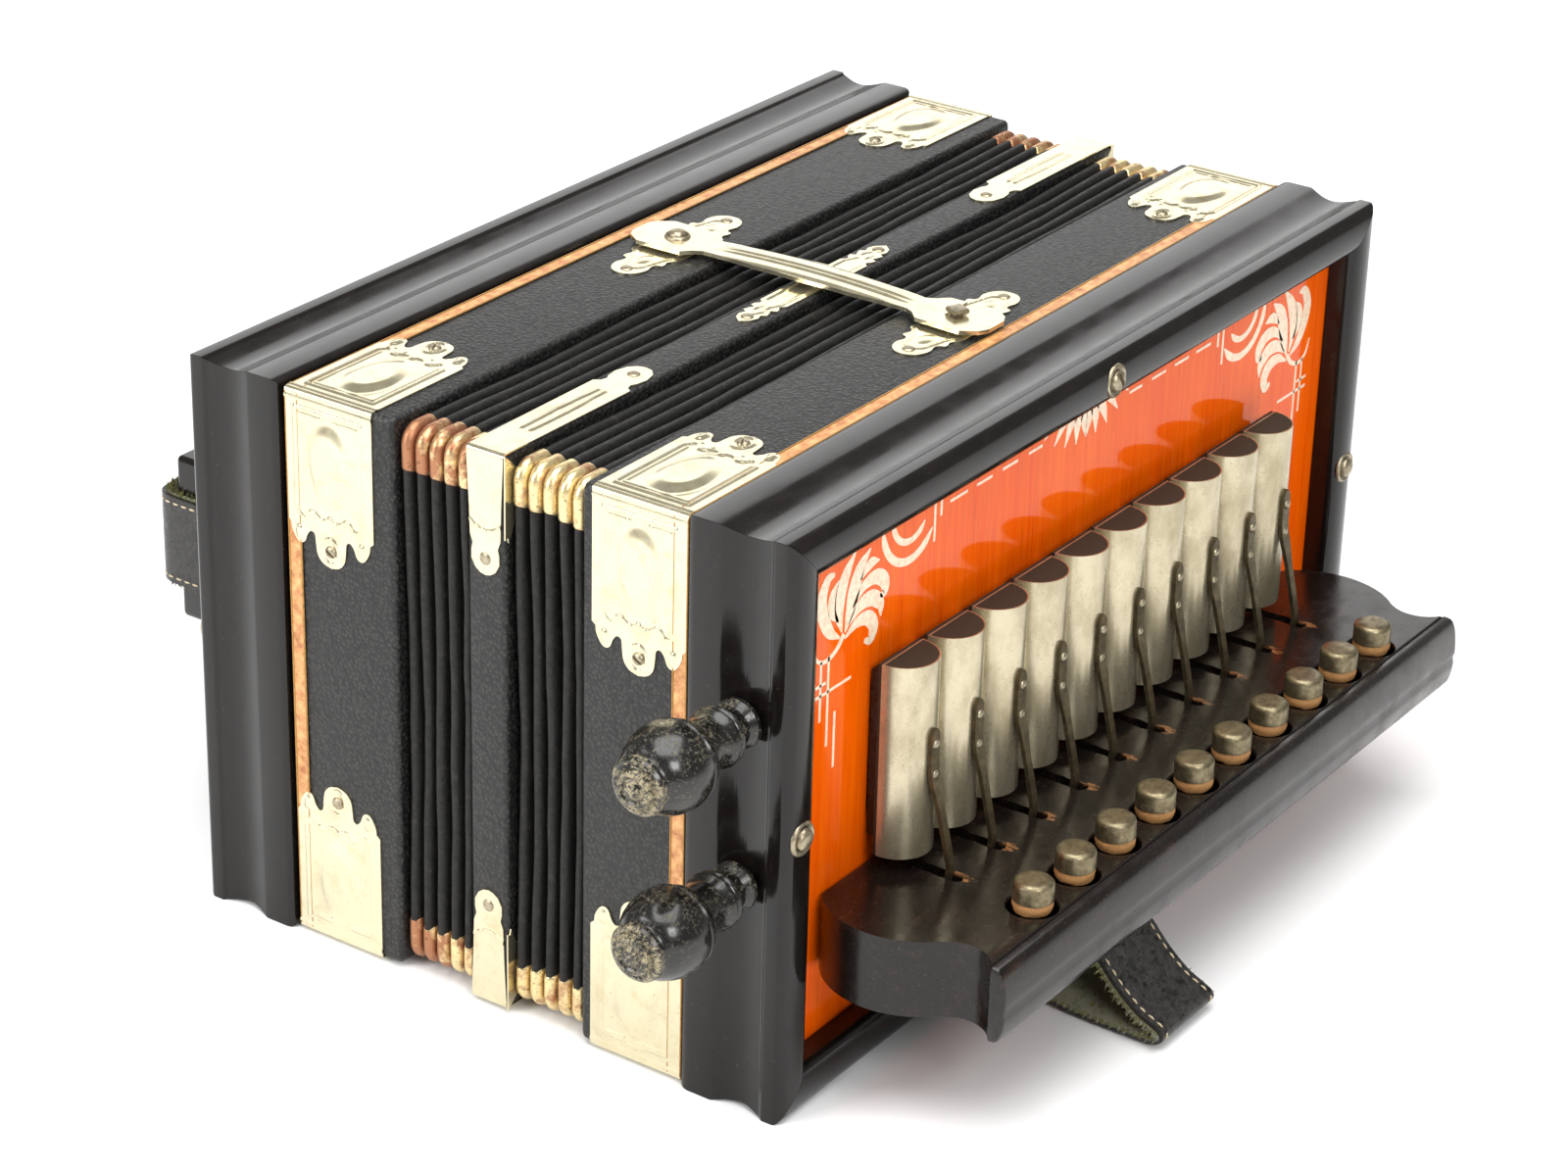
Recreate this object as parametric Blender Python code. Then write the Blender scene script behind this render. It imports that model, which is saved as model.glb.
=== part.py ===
"""A one-row diatonic button accordion (melodeon), at rest with its bellows closed.

All sizes are in millimetres in the casing's own frame: x runs along the casing and is zero at its middle,
y runs along the bellows and is zero at the front rim of the treble casing, z is the height above the floor.
new_object() moves every piece so that the origin is the bottom centre of the whole instrument, in metres.
"""

import math

import bmesh
import bpy
from mathutils import Matrix, Vector

MM = 0.001
GAP = 0.3  # between pieces that touch on the real instrument

# Casings
LENGTH, HEIGHT = 285.5, 157.0
CASING_DEPTH = 29.0
RIM_WIDTH, RIM_DEPTH = 11.8, 6.0
CASING_WALL = 10.0
PANEL_THICK = 2.6
MIDDLE_Z = HEIGHT / 2

# Stations along the bellows axis
TREBLE_FRAME = (CASING_DEPTH + GAP, 61.0)
MIDDLE_FRAME = (84.0, 96.0)
BASS_FRAME = (119.0, 155.0 - GAP)
DEPTH = 184.0
FRAME_INSET = 1.5
FRAME_WALL = 8.0
FOLDS = 5
FOLD_DEPTH = 10.0
CLOTH_THICK = 1.0

# Keyboard
KEYS = 10
KEYBOARD_X = -2.75  # the middle of the keys and of the latch, which isn't quite the casing's
KEY_PITCH = 19.68
BOARD_TOP, BOARD_BOTTOM = 52.5, 31.5
BOARD_FRONT, BOARD_BACK = -46.5, RIM_DEPTH - GAP
BOARD_PLATE = 4.0
NOSING_FRONT = -51.0
AXLE_Y, AXLE_Z, AXLE_RADIUS = -10.0, 45.0, 1.2
BUTTON_Y, BUTTON_TOP, BUTTON_RADIUS = -39.2, 60.2, 5.75
BUTTON_HOLE_RADIUS = 7.5
PALLET_WIDTH, PALLET_BULGE = 18.4, 9.6
PALLET_BACK, PALLET_LOW, PALLET_HIGH = 1.0, 56.5, 109.5
LEVER_WIDTH, LEVER_THICK = 3.5, 1.5
SLOT_WIDTH, SLOT_FRONT = 4.6, -22.0

# Stop knobs
STOP_Y, STOP_HEIGHTS = 12.5, {"upper": 108.0, "lower": 64.0}
STOP_SHAFT_RADIUS = 3.0
KNOB_REACH = 44.5  # from the casing's end to the knob's tip

# Bass side
BOX_HALF_LENGTH, BOX_LOW, BOX_HIGH, BOX_BACK = 106.7, 57.0, 105.0, 225.0
BOX_WALL = 5.0
BASS_KEY_X = (-42.0, -14.0)
AIR_KEY_X = -64.0
STRAP_WIDTH = 27.0
HAND_STRAP_PEAK = 249.0
THUMB_STRAP_X = KEYBOARD_X - 40.0
THUMB_STRAP_FRONT = -59.6

# Latch on the top
FRAME_TOP = HEIGHT - FRAME_INSET
PLATE_THICK = 0.9
LATCH_PIVOT = (KEYBOARD_X, 135.0)
LATCH_STUD = (KEYBOARD_X, 45.0)
BAR_LOW, BAR_THICK, BAR_BOW = 157.0, 1.2, 1.2
STUD_RADIUS, STUD_HEAD_RADIUS = 1.8, 2.9

FRONT_Y, BACK_Y = THUMB_STRAP_FRONT, HAND_STRAP_PEAK + 1.5
FRAME_SHIFT = Vector((KNOB_REACH / 2, -(FRONT_Y + BACK_Y) / 2, 0))


def clear_scene():
    for obj in list(bpy.data.objects):
        bpy.data.objects.remove(obj)


def finish(name, colour, roughness, metallic=0.0):
    """A plain Principled material."""
    made = bpy.data.materials.new(name)
    made.use_nodes = True
    shader = made.node_tree.nodes["Principled BSDF"]
    shader.inputs["Base Color"].default_value = (*colour, 1.0)
    shader.inputs["Roughness"].default_value = roughness
    shader.inputs["Metallic"].default_value = metallic
    return made


def new_object(name, bm, material, pivot=(0, 0, 0), smooth_angle=None):
    """Makes bm, drawn in millimetres, into an object in metres whose origin is pivot."""
    bmesh.ops.recalc_face_normals(bm, faces=bm.faces)
    bmesh.ops.translate(bm, verts=bm.verts, vec=-Vector(pivot))
    bmesh.ops.scale(bm, verts=bm.verts, vec=(MM, MM, MM))
    mesh = bpy.data.meshes.new(name)
    bm.to_mesh(mesh)
    bm.free()
    return place_mesh(name, mesh, material, pivot, smooth_angle)


def place_mesh(name, mesh, material, pivot, smooth_angle=None):
    """An object on an existing mesh, which several objects may share."""
    if not mesh.materials:
        mesh.materials.append(material)
    if smooth_angle is not None:
        mesh.shade_smooth()
        mesh.set_sharp_from_angle(angle=math.radians(smooth_angle))
    obj = bpy.data.objects.new(name, mesh)
    bpy.context.scene.collection.objects.link(obj)
    obj.location = (Vector(pivot) + FRAME_SHIFT) * MM
    return obj


def combine(obj, other, operation):
    """Adds a Boolean with another object, which becomes a hidden guide."""
    modifier = obj.modifiers.new(other.name, "BOOLEAN")
    modifier.operation = operation
    modifier.solver = "EXACT"
    modifier.object = other
    other.hide_render = True
    other.display_type = "WIRE"


def baked_mesh(obj):
    """The mesh of obj with its modifiers applied; obj and its guides are removed."""
    bpy.context.view_layer.update()
    evaluated = obj.evaluated_get(bpy.context.evaluated_depsgraph_get())
    mesh = bpy.data.meshes.new_from_object(evaluated)
    guides = [modifier.object for modifier in obj.modifiers]
    for used in [obj, *guides]:
        bpy.data.objects.remove(used)
    return mesh


def box(low, high):
    bm = bmesh.new()
    size = Vector(high) - Vector(low)
    centre = (Vector(high) + Vector(low)) / 2
    bmesh.ops.create_cube(bm, size=1, matrix=Matrix.Translation(centre) @ Matrix.Diagonal((*size, 1)))
    return bm


def prism(outline, axis, low, high):
    """The outline, given in the other two axes in x, y, z order, extruded from low to high along axis."""
    bm = bmesh.new()
    order = {"x": (2, 0, 1), "y": (0, 2, 1), "z": (0, 1, 2)}[axis]
    base = [bm.verts.new([(*point, low)[i] for i in order]) for point in outline]
    face = bm.faces.new(base)
    step = Vector([(0, 0, high - low)[i] for i in order])
    swept = bmesh.ops.extrude_face_region(bm, geom=[face])
    moved = [v for v in swept["geom"] if isinstance(v, bmesh.types.BMVert)]
    bmesh.ops.translate(bm, verts=moved, vec=step)
    return bm


def lathe(profile, centre, axis, steps=24):
    """Turns (distance along the axis, radius) pairs round the axis through centre."""
    bm = bmesh.new()
    along = Vector(axis)
    out = Vector((0, 0, 1)) if abs(along.z) < 0.5 else Vector((1, 0, 0))
    middle = Vector(centre)
    verts = [bm.verts.new(middle + along * d + out * r) for d, r in profile]
    edges = [bm.edges.new(pair) for pair in zip(verts, verts[1:])]
    bmesh.ops.spin(bm, geom=verts + edges, cent=middle, axis=along, angle=math.tau, steps=steps)
    bmesh.ops.remove_doubles(bm, verts=bm.verts, dist=1e-4)
    return bm


def rod(start, end, radius, steps=20):
    """A round rod between two points on a line parallel to an axis."""
    run = Vector(end) - Vector(start)
    return lathe([(0, 0), (0, radius), (run.length, radius), (run.length, 0)], start, run.normalized(), steps)


def arc(centre, radius, first, last, steps):
    """Points on an arc, angles in degrees."""
    angles = [math.radians(first + (last - first) * i / steps) for i in range(steps + 1)]
    return [(centre[0] + radius * math.cos(a), centre[1] + radius * math.sin(a)) for a in angles]


def ring(section):
    """A mitred rectangular frame: section is a closed outline of (inset from the casing's outside, y)."""
    bm = bmesh.new()
    corners = []
    for side, level in ((-1, -1), (1, -1), (1, 1), (-1, 1)):
        corners.append([
            bm.verts.new((side * (LENGTH / 2 - inset), y, MIDDLE_Z + level * (HEIGHT / 2 - inset)))
            for inset, y in section
        ])
    count = len(section)
    for a, b in zip(corners, corners[1:] + corners[:1]):
        for i in range(count):
            j = (i + 1) % count
            bm.faces.new((a[i], a[j], b[j], b[i]))
    return bm


def ribbon(path, low, high, thickness, axis):
    """A flat strap: path is its centre line in the plane across axis, low and high its two edges."""
    points = [Vector(p) for p in path]
    left, right = [], []
    for i, point in enumerate(points):
        run = (points[min(i + 1, len(points) - 1)] - points[max(i - 1, 0)]).normalized()
        normal = Vector((-run.y, run.x)) * thickness / 2
        left.append(tuple(point + normal))
        right.append(tuple(point - normal))
    return prism(left + right[::-1], axis, low, high)


def casing_section():
    """The moulding's outline: front lip, shallow cove, flat, then the inside wall and the rim."""
    lip, cove_end, cove_depth = 4.3, 19.6, 1.6
    shares = [0.0, 0.12, 0.27, 0.48, 0.77, 0.89, 1.0]
    cove = [(0.3 * (1 - t) + cove_depth * math.sin(math.pi * t), lip + 0.3 + (cove_end - lip - 0.3) * t)
            for t in shares]
    flat = [(0, CASING_DEPTH - 1.2), (0.35, CASING_DEPTH - 0.35), (1.2, CASING_DEPTH)]
    inside = [(CASING_WALL, CASING_DEPTH), (CASING_WALL, RIM_DEPTH), (RIM_WIDTH, RIM_DEPTH), (RIM_WIDTH, 1.4)]
    return [(0.7, 0), (0, 0.7), (0, lip), *cove, *flat, *inside, (RIM_WIDTH - 1.2, 0.3)]


def mirrored(section):
    """The same section on the bass casing, whose rim is at the far end."""
    return [(inset, DEPTH - y) for inset, y in section]


def make_casing(name, section, material):
    return new_object(name, ring(section), material, smooth_angle=40)


def make_panel(name, low_y, material):
    inset = CASING_WALL + GAP
    half = LENGTH / 2 - inset
    return new_object(
        name, box((-half, low_y, inset), (half, low_y + PANEL_THICK, HEIGHT - inset)), material
    )


def cut_box(obj, label, low, high):
    combine(obj, new_object(f"cutter_{label}", box(low, high), MATERIALS["guide"]), "DIFFERENCE")


def cut_rod(obj, label, start, end, radius):
    combine(obj, new_object(f"cutter_{label}", rod(start, end, radius), MATERIALS["guide"]), "DIFFERENCE")


def make_frame(name, span):
    first, last = span
    inner = FRAME_INSET + FRAME_WALL
    section = [(FRAME_INSET, first), (FRAME_INSET, last), (inner, last), (inner, first)]
    return new_object(name, ring(section), MATERIALS["leathercloth"])


def make_bellows(name, start, end):
    """Folded cloth between two frames: the outside and the inside of the cloth zigzag together."""
    first, last = start + GAP, end - GAP
    pitch = (last - first) / (2 * FOLDS)
    crest, valley = FRAME_INSET + 2.0, FRAME_INSET + 2.0 + FOLD_DEPTH
    outside = [(valley if i % 2 == 0 else crest, first + i * pitch) for i in range(2 * FOLDS + 1)]
    inside = [(inset + 3 * CLOTH_THICK, y) for inset, y in reversed(outside)]
    return new_object(name, ring(outside + inside), MATERIALS["bellows_cloth"])


def scallop(length, half_width, lobes):
    """One half of an arm's outline: the straight side up to length, then the lobes' (distance, half width)."""
    return [(0, half_width), (length, half_width), *lobes]


def angle_plate(name, side_arm, top_arm, x_sign, z_sign, y_middle):
    """Sheet metal folded over an outside corner of the bellows frame. An arm is half an outline."""
    bm = bmesh.new()
    edge_x = LENGTH / 2 - FRAME_INSET + GAP
    edge_z = HEIGHT / 2 - FRAME_INSET + GAP

    def corner(distance, across, on_top):
        x = edge_x - (distance if on_top else 0)
        z = edge_z - (0 if on_top else distance)
        return bm.verts.new((x_sign * x, y_middle + across, MIDDLE_Z + z_sign * z))

    fold = [corner(0, side * top_arm[0][1], True) for side in (1, -1)]
    for arm, on_top in ((top_arm, True), (side_arm, False)):
        near = [corner(d, w, on_top) for d, w in arm[1:]]
        far = [corner(d, -w, on_top) for d, w in reversed(arm[1:]) if w > 0]
        bm.faces.new([fold[0], *near, *far, fold[1]])
    bmesh.ops.recalc_face_normals(bm, faces=bm.faces)
    outwards = bm.faces[:][0].normal.z * z_sign > 0
    if not outwards:
        bmesh.ops.reverse_faces(bm, faces=bm.faces)
    bmesh.ops.scale(bm, verts=bm.verts, vec=(MM, MM, MM))
    mesh = bpy.data.meshes.new(name)
    bm.to_mesh(mesh)
    bm.free()
    obj = place_mesh(name, mesh, MATERIALS["nickel"], (0, 0, 0))
    sheet = obj.modifiers.new("sheet", "SOLIDIFY")
    sheet.thickness = PLATE_THICK * MM
    sheet.offset = 1
    sheet.use_even_offset = True
    return obj


def make_corner_plates():
    lobes = [(37.8, 12.6), (40.4, 11.4), (41.4, 9.7), (40.4, 8.0), (37.7, 6.9), (37.2, 5.6), (39.5, 4.7),
             (43.2, 4.3), (45.3, 2.6), (46.0, 0)]
    arm = scallop(35.5, 14.0, lobes)
    middles = {"treble": CASING_DEPTH + GAP + 14.2, "bass": BASS_FRAME[1] - 15.2}
    for side, y in middles.items():
        for end, x_sign in (("left", -1), ("right", 1)):
            for level, z_sign in (("bottom", -1), ("top", 1)):
                angle_plate(f"corner_plate_{side}_{end}_{level}", arm, arm, x_sign, z_sign, y)


def make_middle_clips():
    width = 5.8
    side = [(0, width), (20.0, 4.8), (24.0, 4.6), (26.0, 3.9), (28.0, 4.4), (31.2, 3.4), (33.0, 0)]
    top = scallop(50.0, width, [(52.0, 3.6), (55.0, 4.8), (61.5, 3.8), (64.5, 0)])
    middle = sum(MIDDLE_FRAME) / 2
    for end, x_sign in (("left", -1), ("right", 1)):
        for level, z_sign in (("bottom", -1), ("top", 1)):
            angle_plate(f"middle_clip_{end}_{level}", side, top, x_sign, z_sign, middle)


def four_way(quarter):
    """A plate outline from its quarter, whose first point is on the y axis and last one on the x axis."""
    right_half = quarter + [(x, -y) for x, y in reversed(quarter[:-1])]
    return right_half + [(-x, y) for x, y in reversed(right_half) if x > 0]


def top_plate(name, outline, centre):
    """A flat plate on top of a frame."""
    low = FRAME_TOP + GAP
    moved = [(x + centre[0], y + centre[1]) for x, y in outline]
    return new_object(name, prism(moved, "z", low, low + PLATE_THICK), MATERIALS["nickel"])


def make_latch():
    quarter = [(0, 8.0), (9.0, 8.0), (11.0, 6.2), (15.5, 6.6), (16.5, 4.6), (20.0, 5.2), (23.0, 3.7),
               (25.6, 2.4), (26.4, 0)]
    outline = four_way(quarter)
    bass_plate = top_plate("latch_plate_bass", outline, LATCH_PIVOT)
    treble_plate = top_plate("latch_plate_treble", outline, LATCH_STUD)
    plate_low, bar_top = FRAME_TOP + GAP + 0.2, BAR_LOW + BAR_THICK + GAP
    stud = lathe([(plate_low, 0), (plate_low, STUD_RADIUS), (bar_top, STUD_RADIUS), (bar_top, STUD_HEAD_RADIUS),
                  (bar_top + 1.4, STUD_HEAD_RADIUS - 0.4), (bar_top + 1.8, 0)], (*LATCH_STUD, 0), (0, 0, 1))
    combine(treble_plate, new_object("stud", stud, MATERIALS["guide"]), "UNION")

    hole = 1.8
    bar = latch_bar()
    for piece in (bass_plate, bar, bpy.data.objects["bass_bellows_frame"]):
        cut_rod(piece, f"pivot_{piece.name}", (*LATCH_PIVOT, 140), (*LATCH_PIVOT, 170), hole)
    x, y = LATCH_STUD
    notch = STUD_RADIUS + 0.8
    cut_box(bar, "stud_notch", (x - notch, y - notch, BAR_LOW - 2), (x + 15, y + notch, BAR_LOW + 5))
    head = BAR_LOW + BAR_THICK + GAP
    profile = [(-12, 0), (-12, 1.5), (0, 1.5), (0, 4.2), (1.0, 4.0), (2.0, 2.8), (2.5, 0)]
    new_object("latch_pivot_screw", lathe(profile, (*LATCH_PIVOT, head), (0, 0, 1)), MATERIALS["steel"])


def latch_bar():
    """A sprung strip, bowed up over the folds, with angular ends."""
    stations = [(147.5, 4.0), (143.0, 9.2), (128.0, 8.6), (122.5, 5.4), (106.0, 5.9), (90.0, 6.2), (74.0, 5.9),
                (57.5, 5.4), (52.0, 8.8), (38.0, 9.4), (33.0, 4.0)]
    bow_first, bow_last = 122.5, 57.5
    bm = bmesh.new()
    loops = []
    middle = LATCH_PIVOT[0]
    for y, half in stations:
        share = min(max((bow_first - y) / (bow_first - bow_last), 0), 1)
        low = BAR_LOW + BAR_BOW * math.sin(math.pi * share)
        loops.append([bm.verts.new(p) for p in (
            (middle - half, y, low), (middle + half, y, low),
            (middle + half, y, low + BAR_THICK), (middle - half, y, low + BAR_THICK))])
    bm.faces.new(loops[0])
    bm.faces.new(loops[-1])
    for a, b in zip(loops, loops[1:]):
        for i in range(4):
            j = (i + 1) % 4
            bm.faces.new((a[i], a[j], b[j], b[i]))
    return new_object("latch_bar", bm, MATERIALS["nickel"], pivot=(*LATCH_PIVOT, BAR_LOW))


def make_ornament_plate():
    quarter = [(0, 4.3), (19.0, 4.3), (20.5, 2.8), (22.5, 4.2), (24.5, 2.4), (27.0, 3.8), (29.0, 2.2),
               (32.0, 2.6), (34.5, 0)]
    top_plate("middle_ornament_plate", four_way(quarter), (KEYBOARD_X, sum(MIDDLE_FRAME) / 2))


def board_outline():
    """The fingerboard in plan: bulged ends that sweep in and flare out again to the nosing."""
    bulge = arc((100.0, -13.5), 24.0, 53.0, -47.5, 8)
    waist = arc((123.0, -38.0), 9.5, 134.0, 243.5, 6)
    right = [(bulge[0][0], BOARD_BACK), *bulge[1:], *waist[1:-1], (waist[-1][0], BOARD_FRONT)]
    outline = right + [(-x, y) for x, y in reversed(right)]
    return [(x + KEYBOARD_X, y) for x, y in outline]


def key_positions():
    return [KEYBOARD_X + (k - (KEYS - 1) / 2) * KEY_PITCH for k in range(KEYS)]


def make_fingerboard():
    board = new_object(
        "fingerboard", prism(board_outline(), "z", BOARD_BOTTOM, BOARD_TOP), MATERIALS["black_lacquer"]
    )
    under_plate = BOARD_TOP - BOARD_PLATE
    left, right, front, back = KEYBOARD_X - 104.0, KEYBOARD_X + 104.0, BOARD_FRONT + 1.3, -3.0
    cut_box(board, "key_cavity", (left, front, BOARD_BOTTOM - 1), (right, back, under_plate))
    for k, x in enumerate(key_positions(), 1):
        cut_rod(board, f"button_{k}", (x, BUTTON_Y, under_plate - 1), (x, BUTTON_Y, BOARD_TOP + 1),
                BUTTON_HOLE_RADIUS)
        cut_box(board, f"slot_{k}", (x - SLOT_WIDTH / 2, SLOT_FRONT, under_plate - 1),
                (x + SLOT_WIDTH / 2, BOARD_BACK + 1, BOARD_TOP + 1))
    new_object(
        "fingerboard_base",
        box((left + GAP, front + GAP, BOARD_BOTTOM), (right - GAP, back - GAP, BOARD_BOTTOM + 2.5)),
        MATERIALS["black_lacquer"],
    )
    end = 119.5
    back_y = BOARD_FRONT - GAP
    depth = back_y - NOSING_FRONT
    centre = (BOARD_TOP + BOARD_BOTTOM) / 2
    half_height = (BOARD_TOP - BOARD_BOTTOM) / 2
    nose = [(back_y - depth * math.sin(math.radians(a)) ** 0.7, centre + half_height * math.cos(math.radians(a)))
            for a in range(0, 181, 18)]
    nosing = prism(nose, "x", KEYBOARD_X - end, KEYBOARD_X + end)
    new_object("fingerboard_nosing", nosing, MATERIALS["black_lacquer"], smooth_angle=50)
    axle = rod((left + GAP, AXLE_Y, AXLE_Z), (right - GAP, AXLE_Y, AXLE_Z), AXLE_RADIUS)
    new_object("key_axle", axle, MATERIALS["steel"])


def lever_mesh():
    """The lever of a key at x = 0, riveted to its pallet: front arm with the button's stem, hub, rear arm, pallet."""
    hub_radius, clearance = 3.2, 0.3
    pivot = (0, AXLE_Y, AXLE_Z)
    wide = LEVER_WIDTH / 2
    rear = [(-10.4, 44.0), (-13.4, 53.0), (-10.6, 74.0), (-9.0, 80.0), (-9.0, 91.5)]
    template = new_object("lever_template", ribbon(rear, -wide, wide, LEVER_THICK, "x"), MATERIALS["tin"], pivot)
    front = prism([(BUTTON_Y - 2.5, 43.6), (AXLE_Y, 43.0), (AXLE_Y, 47.0), (BUTTON_Y - 2.5, 46.4)],
                  "x", -wide, wide)
    stem = rod((0, BUTTON_Y, 45.0), (0, BUTTON_Y, BOARD_TOP - 0.6), 2.5, 12)
    hub = rod((-wide, AXLE_Y, AXLE_Z), (wide, AXLE_Y, AXLE_Z), hub_radius, 16)
    half = PALLET_WIDTH / 2
    angles = [math.pi * i / 12 for i in range(13)]
    curved = [(half * math.cos(a), PALLET_BACK - PALLET_BULGE * math.sin(a)) for a in angles]
    pallet = prism(curved, "z", PALLET_LOW, PALLET_HIGH)
    pad_edge, pad_end = 0.5, 1.0
    pad = box((-half + pad_edge, PALLET_BACK - 0.5, PALLET_LOW + pad_end),
              (half - pad_edge, RIM_DEPTH, PALLET_HIGH - pad_end))
    for label, bm in (("front", front), ("stem", stem), ("hub", hub), ("pallet", pallet), ("pad", pad)):
        combine(template, new_object(label, bm, MATERIALS["guide"], pivot), "UNION")
    hole = rod((-wide - 1, AXLE_Y, AXLE_Z), (wide + 1, AXLE_Y, AXLE_Z), AXLE_RADIUS + clearance, 16)
    combine(template, new_object("hole", hole, MATERIALS["guide"], pivot), "DIFFERENCE")
    return baked_mesh(template)


def make_keys():
    lever = lever_mesh()
    base = BOARD_TOP - 0.3
    profile = [(0, 0), (0, BUTTON_RADIUS), (BUTTON_TOP - base - 1.2, BUTTON_RADIUS),
               (BUTTON_TOP - base - 0.3, BUTTON_RADIUS - 0.5), (BUTTON_TOP - base, BUTTON_RADIUS - 1.6),
               (BUTTON_TOP - base, 0)]
    button = new_object("button_template", lathe(profile, (0, BUTTON_Y, base), (0, 0, 1)), MATERIALS["tin"],
                        (0, AXLE_Y, AXLE_Z), smooth_angle=40)
    button_mesh = button.data
    bpy.data.objects.remove(button)
    for k, x in enumerate(key_positions(), 1):
        pivot = (x, AXLE_Y, AXLE_Z)
        place_mesh(f"pallet_lever_{k:02d}", lever, MATERIALS["tin"], pivot)
        place_mesh(f"button_{k:02d}", button_mesh, MATERIALS["tin"], pivot)


def make_stop_knobs(casing):
    """Turned knobs on shafts that carry the register slides behind the treble panel."""
    wall = -LENGTH / 2
    neck = [(-25, 0), (-25, STOP_SHAFT_RADIUS), (0.4, STOP_SHAFT_RADIUS), (0.4, 6.2), (2.0, 6.4), (3.4, 5.2),
            (7.2, 5.0), (8.4, 7.2), (10.8, 7.6), (14.0, 6.7), (18.6, 7.2)]
    ball = [(20.4, 8.6), (22.6, 9.9), (25.6, 10.9), (28.6, 11.3), (31.6, 10.9), (34.4, 10.0), (36.8, 8.8),
            (38.6, 7.4), (40.4, 7.1), (41.8, 6.2), (43.2, 4.2), (KNOB_REACH, 1.6)]
    profile = [*neck, *ball, (KNOB_REACH, 0)]
    for level, z in STOP_HEIGHTS.items():
        axis_point = (wall, STOP_Y, z)
        knob = new_object(f"stop_knob_{level}", lathe(profile, axis_point, (-1, 0, 0)),
                          MATERIALS["turned_wood"], axis_point, smooth_angle=40)
        slide = box((wall + 21, STOP_Y - 1.1, z - 8), (97, STOP_Y + 1.1, z + 8))
        combine(knob, new_object(f"slide_{level}", slide, MATERIALS["guide"], axis_point), "UNION")
        cut_rod(casing, f"stop_{level}", (wall - 1, STOP_Y, z), (wall + CASING_WALL + 1, STOP_Y, z),
                STOP_SHAFT_RADIUS + 0.4)


def make_reed_block(name, low, high, cells, cell_depth, opens_back):
    """A wooden block with a row of reed cells that open towards the casing's panel."""
    block = new_object(name, box(low, high), MATERIALS["bare_wood"])
    pitch = (high[0] - low[0]) / cells
    wall = 3.0
    for i in range(cells):
        x = low[0] + pitch * i
        y = (high[1] - cell_depth, high[1] + 1) if opens_back else (low[1] - 1, low[1] + cell_depth)
        cut_box(block, f"{name}_{i}", (x + wall, y[0], low[2] + wall), (x + pitch - wall, y[1], high[2] - wall))


def make_treble_side():
    casing = make_casing("treble_moulding", casing_section(), MATERIALS["black_lacquer"])
    panel = make_panel("treble_face_panel", RIM_DEPTH + GAP, MATERIALS["stained_panel"])
    for k, x in enumerate(key_positions(), 1):
        cut_box(panel, f"wind_hole_{k}", (x - 6, RIM_DEPTH - 1, 64), (x + 6, RIM_DEPTH + 5, 102))
    make_frame("treble_bellows_frame", TREBLE_FRAME)
    half = KEYS * KEY_PITCH / 2 + 1.6
    make_reed_block("treble_reed_block", (KEYBOARD_X - half, 16.0, 58.0),
                    (KEYBOARD_X + half, 46.0, 112.0), KEYS, 22.0, False)
    make_stop_knobs(casing)
    make_fingerboard()
    make_keys()
    bottom = 1.5
    loop = [(-16.0, 29.6), (-24.0, 29.0), (-31.0, 26.0), (-37.5, 20.5), (-44.0, 13.5), (-50.5, 8.2), (-55.5, 5.8),
            (-58.4, 3.9), (-55.5, bottom), (-48.0, bottom), (-38.0, bottom), (-28.0, 2.2), (-19.0, 5.2),
            (-12.0, 10.8), (-8.6, 18.0), (-8.0, 24.0), (-8.0, 29.6)]
    half_width = STRAP_WIDTH / 2
    strap = ribbon(loop, THUMB_STRAP_X - half_width, THUMB_STRAP_X + half_width, 2.4, "x")
    new_object("thumb_strap", strap, MATERIALS["strap_leather"], smooth_angle=50)


def spoon_key(name, x, z_sign, material):
    """A bass or air key: a spoon outside the box, a hub inside it and an arm down to a pallet on the bass panel."""
    face = DEPTH - RIM_DEPTH + GAP
    hub_y = 198.0
    wall_z = BOX_HIGH if z_sign > 0 else BOX_LOW
    hub_z = wall_z - z_sign * 8.0
    pivot = (x, hub_y, hub_z)

    def section(points):
        return [(y, wall_z + z_sign * out) for y, out in points]

    arm = section([(hub_y, 24.0), (hub_y, 2.0), (hub_y, -8.0), (190.0, -17.0), (181.0, -22.0)])
    key = new_object(name, ribbon(arm, x - 3.5, x + 3.5, 1.8, "x"), material, pivot)
    spoon = lathe([(-0.9, 0), (-0.9, 8.0), (0.9, 8.0), (0.9, 0)],
                  (x, hub_y, wall_z + z_sign * 21.0), (0, 1, 0), 20)
    pallet_z = sorted((wall_z - z_sign * 14.0, wall_z - z_sign * 32.0))
    pallet = box((x - 8, face, pallet_z[0]), (x + 8, face + 3.5, pallet_z[1]))
    hub = rod((x - 5, hub_y, hub_z), (x + 5, hub_y, hub_z), 2.4, 16)
    for label, bm in (("spoon", spoon), ("pallet", pallet), ("hub", hub)):
        combine(key, new_object(f"{name}_{label}", bm, MATERIALS["guide"], pivot), "UNION")


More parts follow.
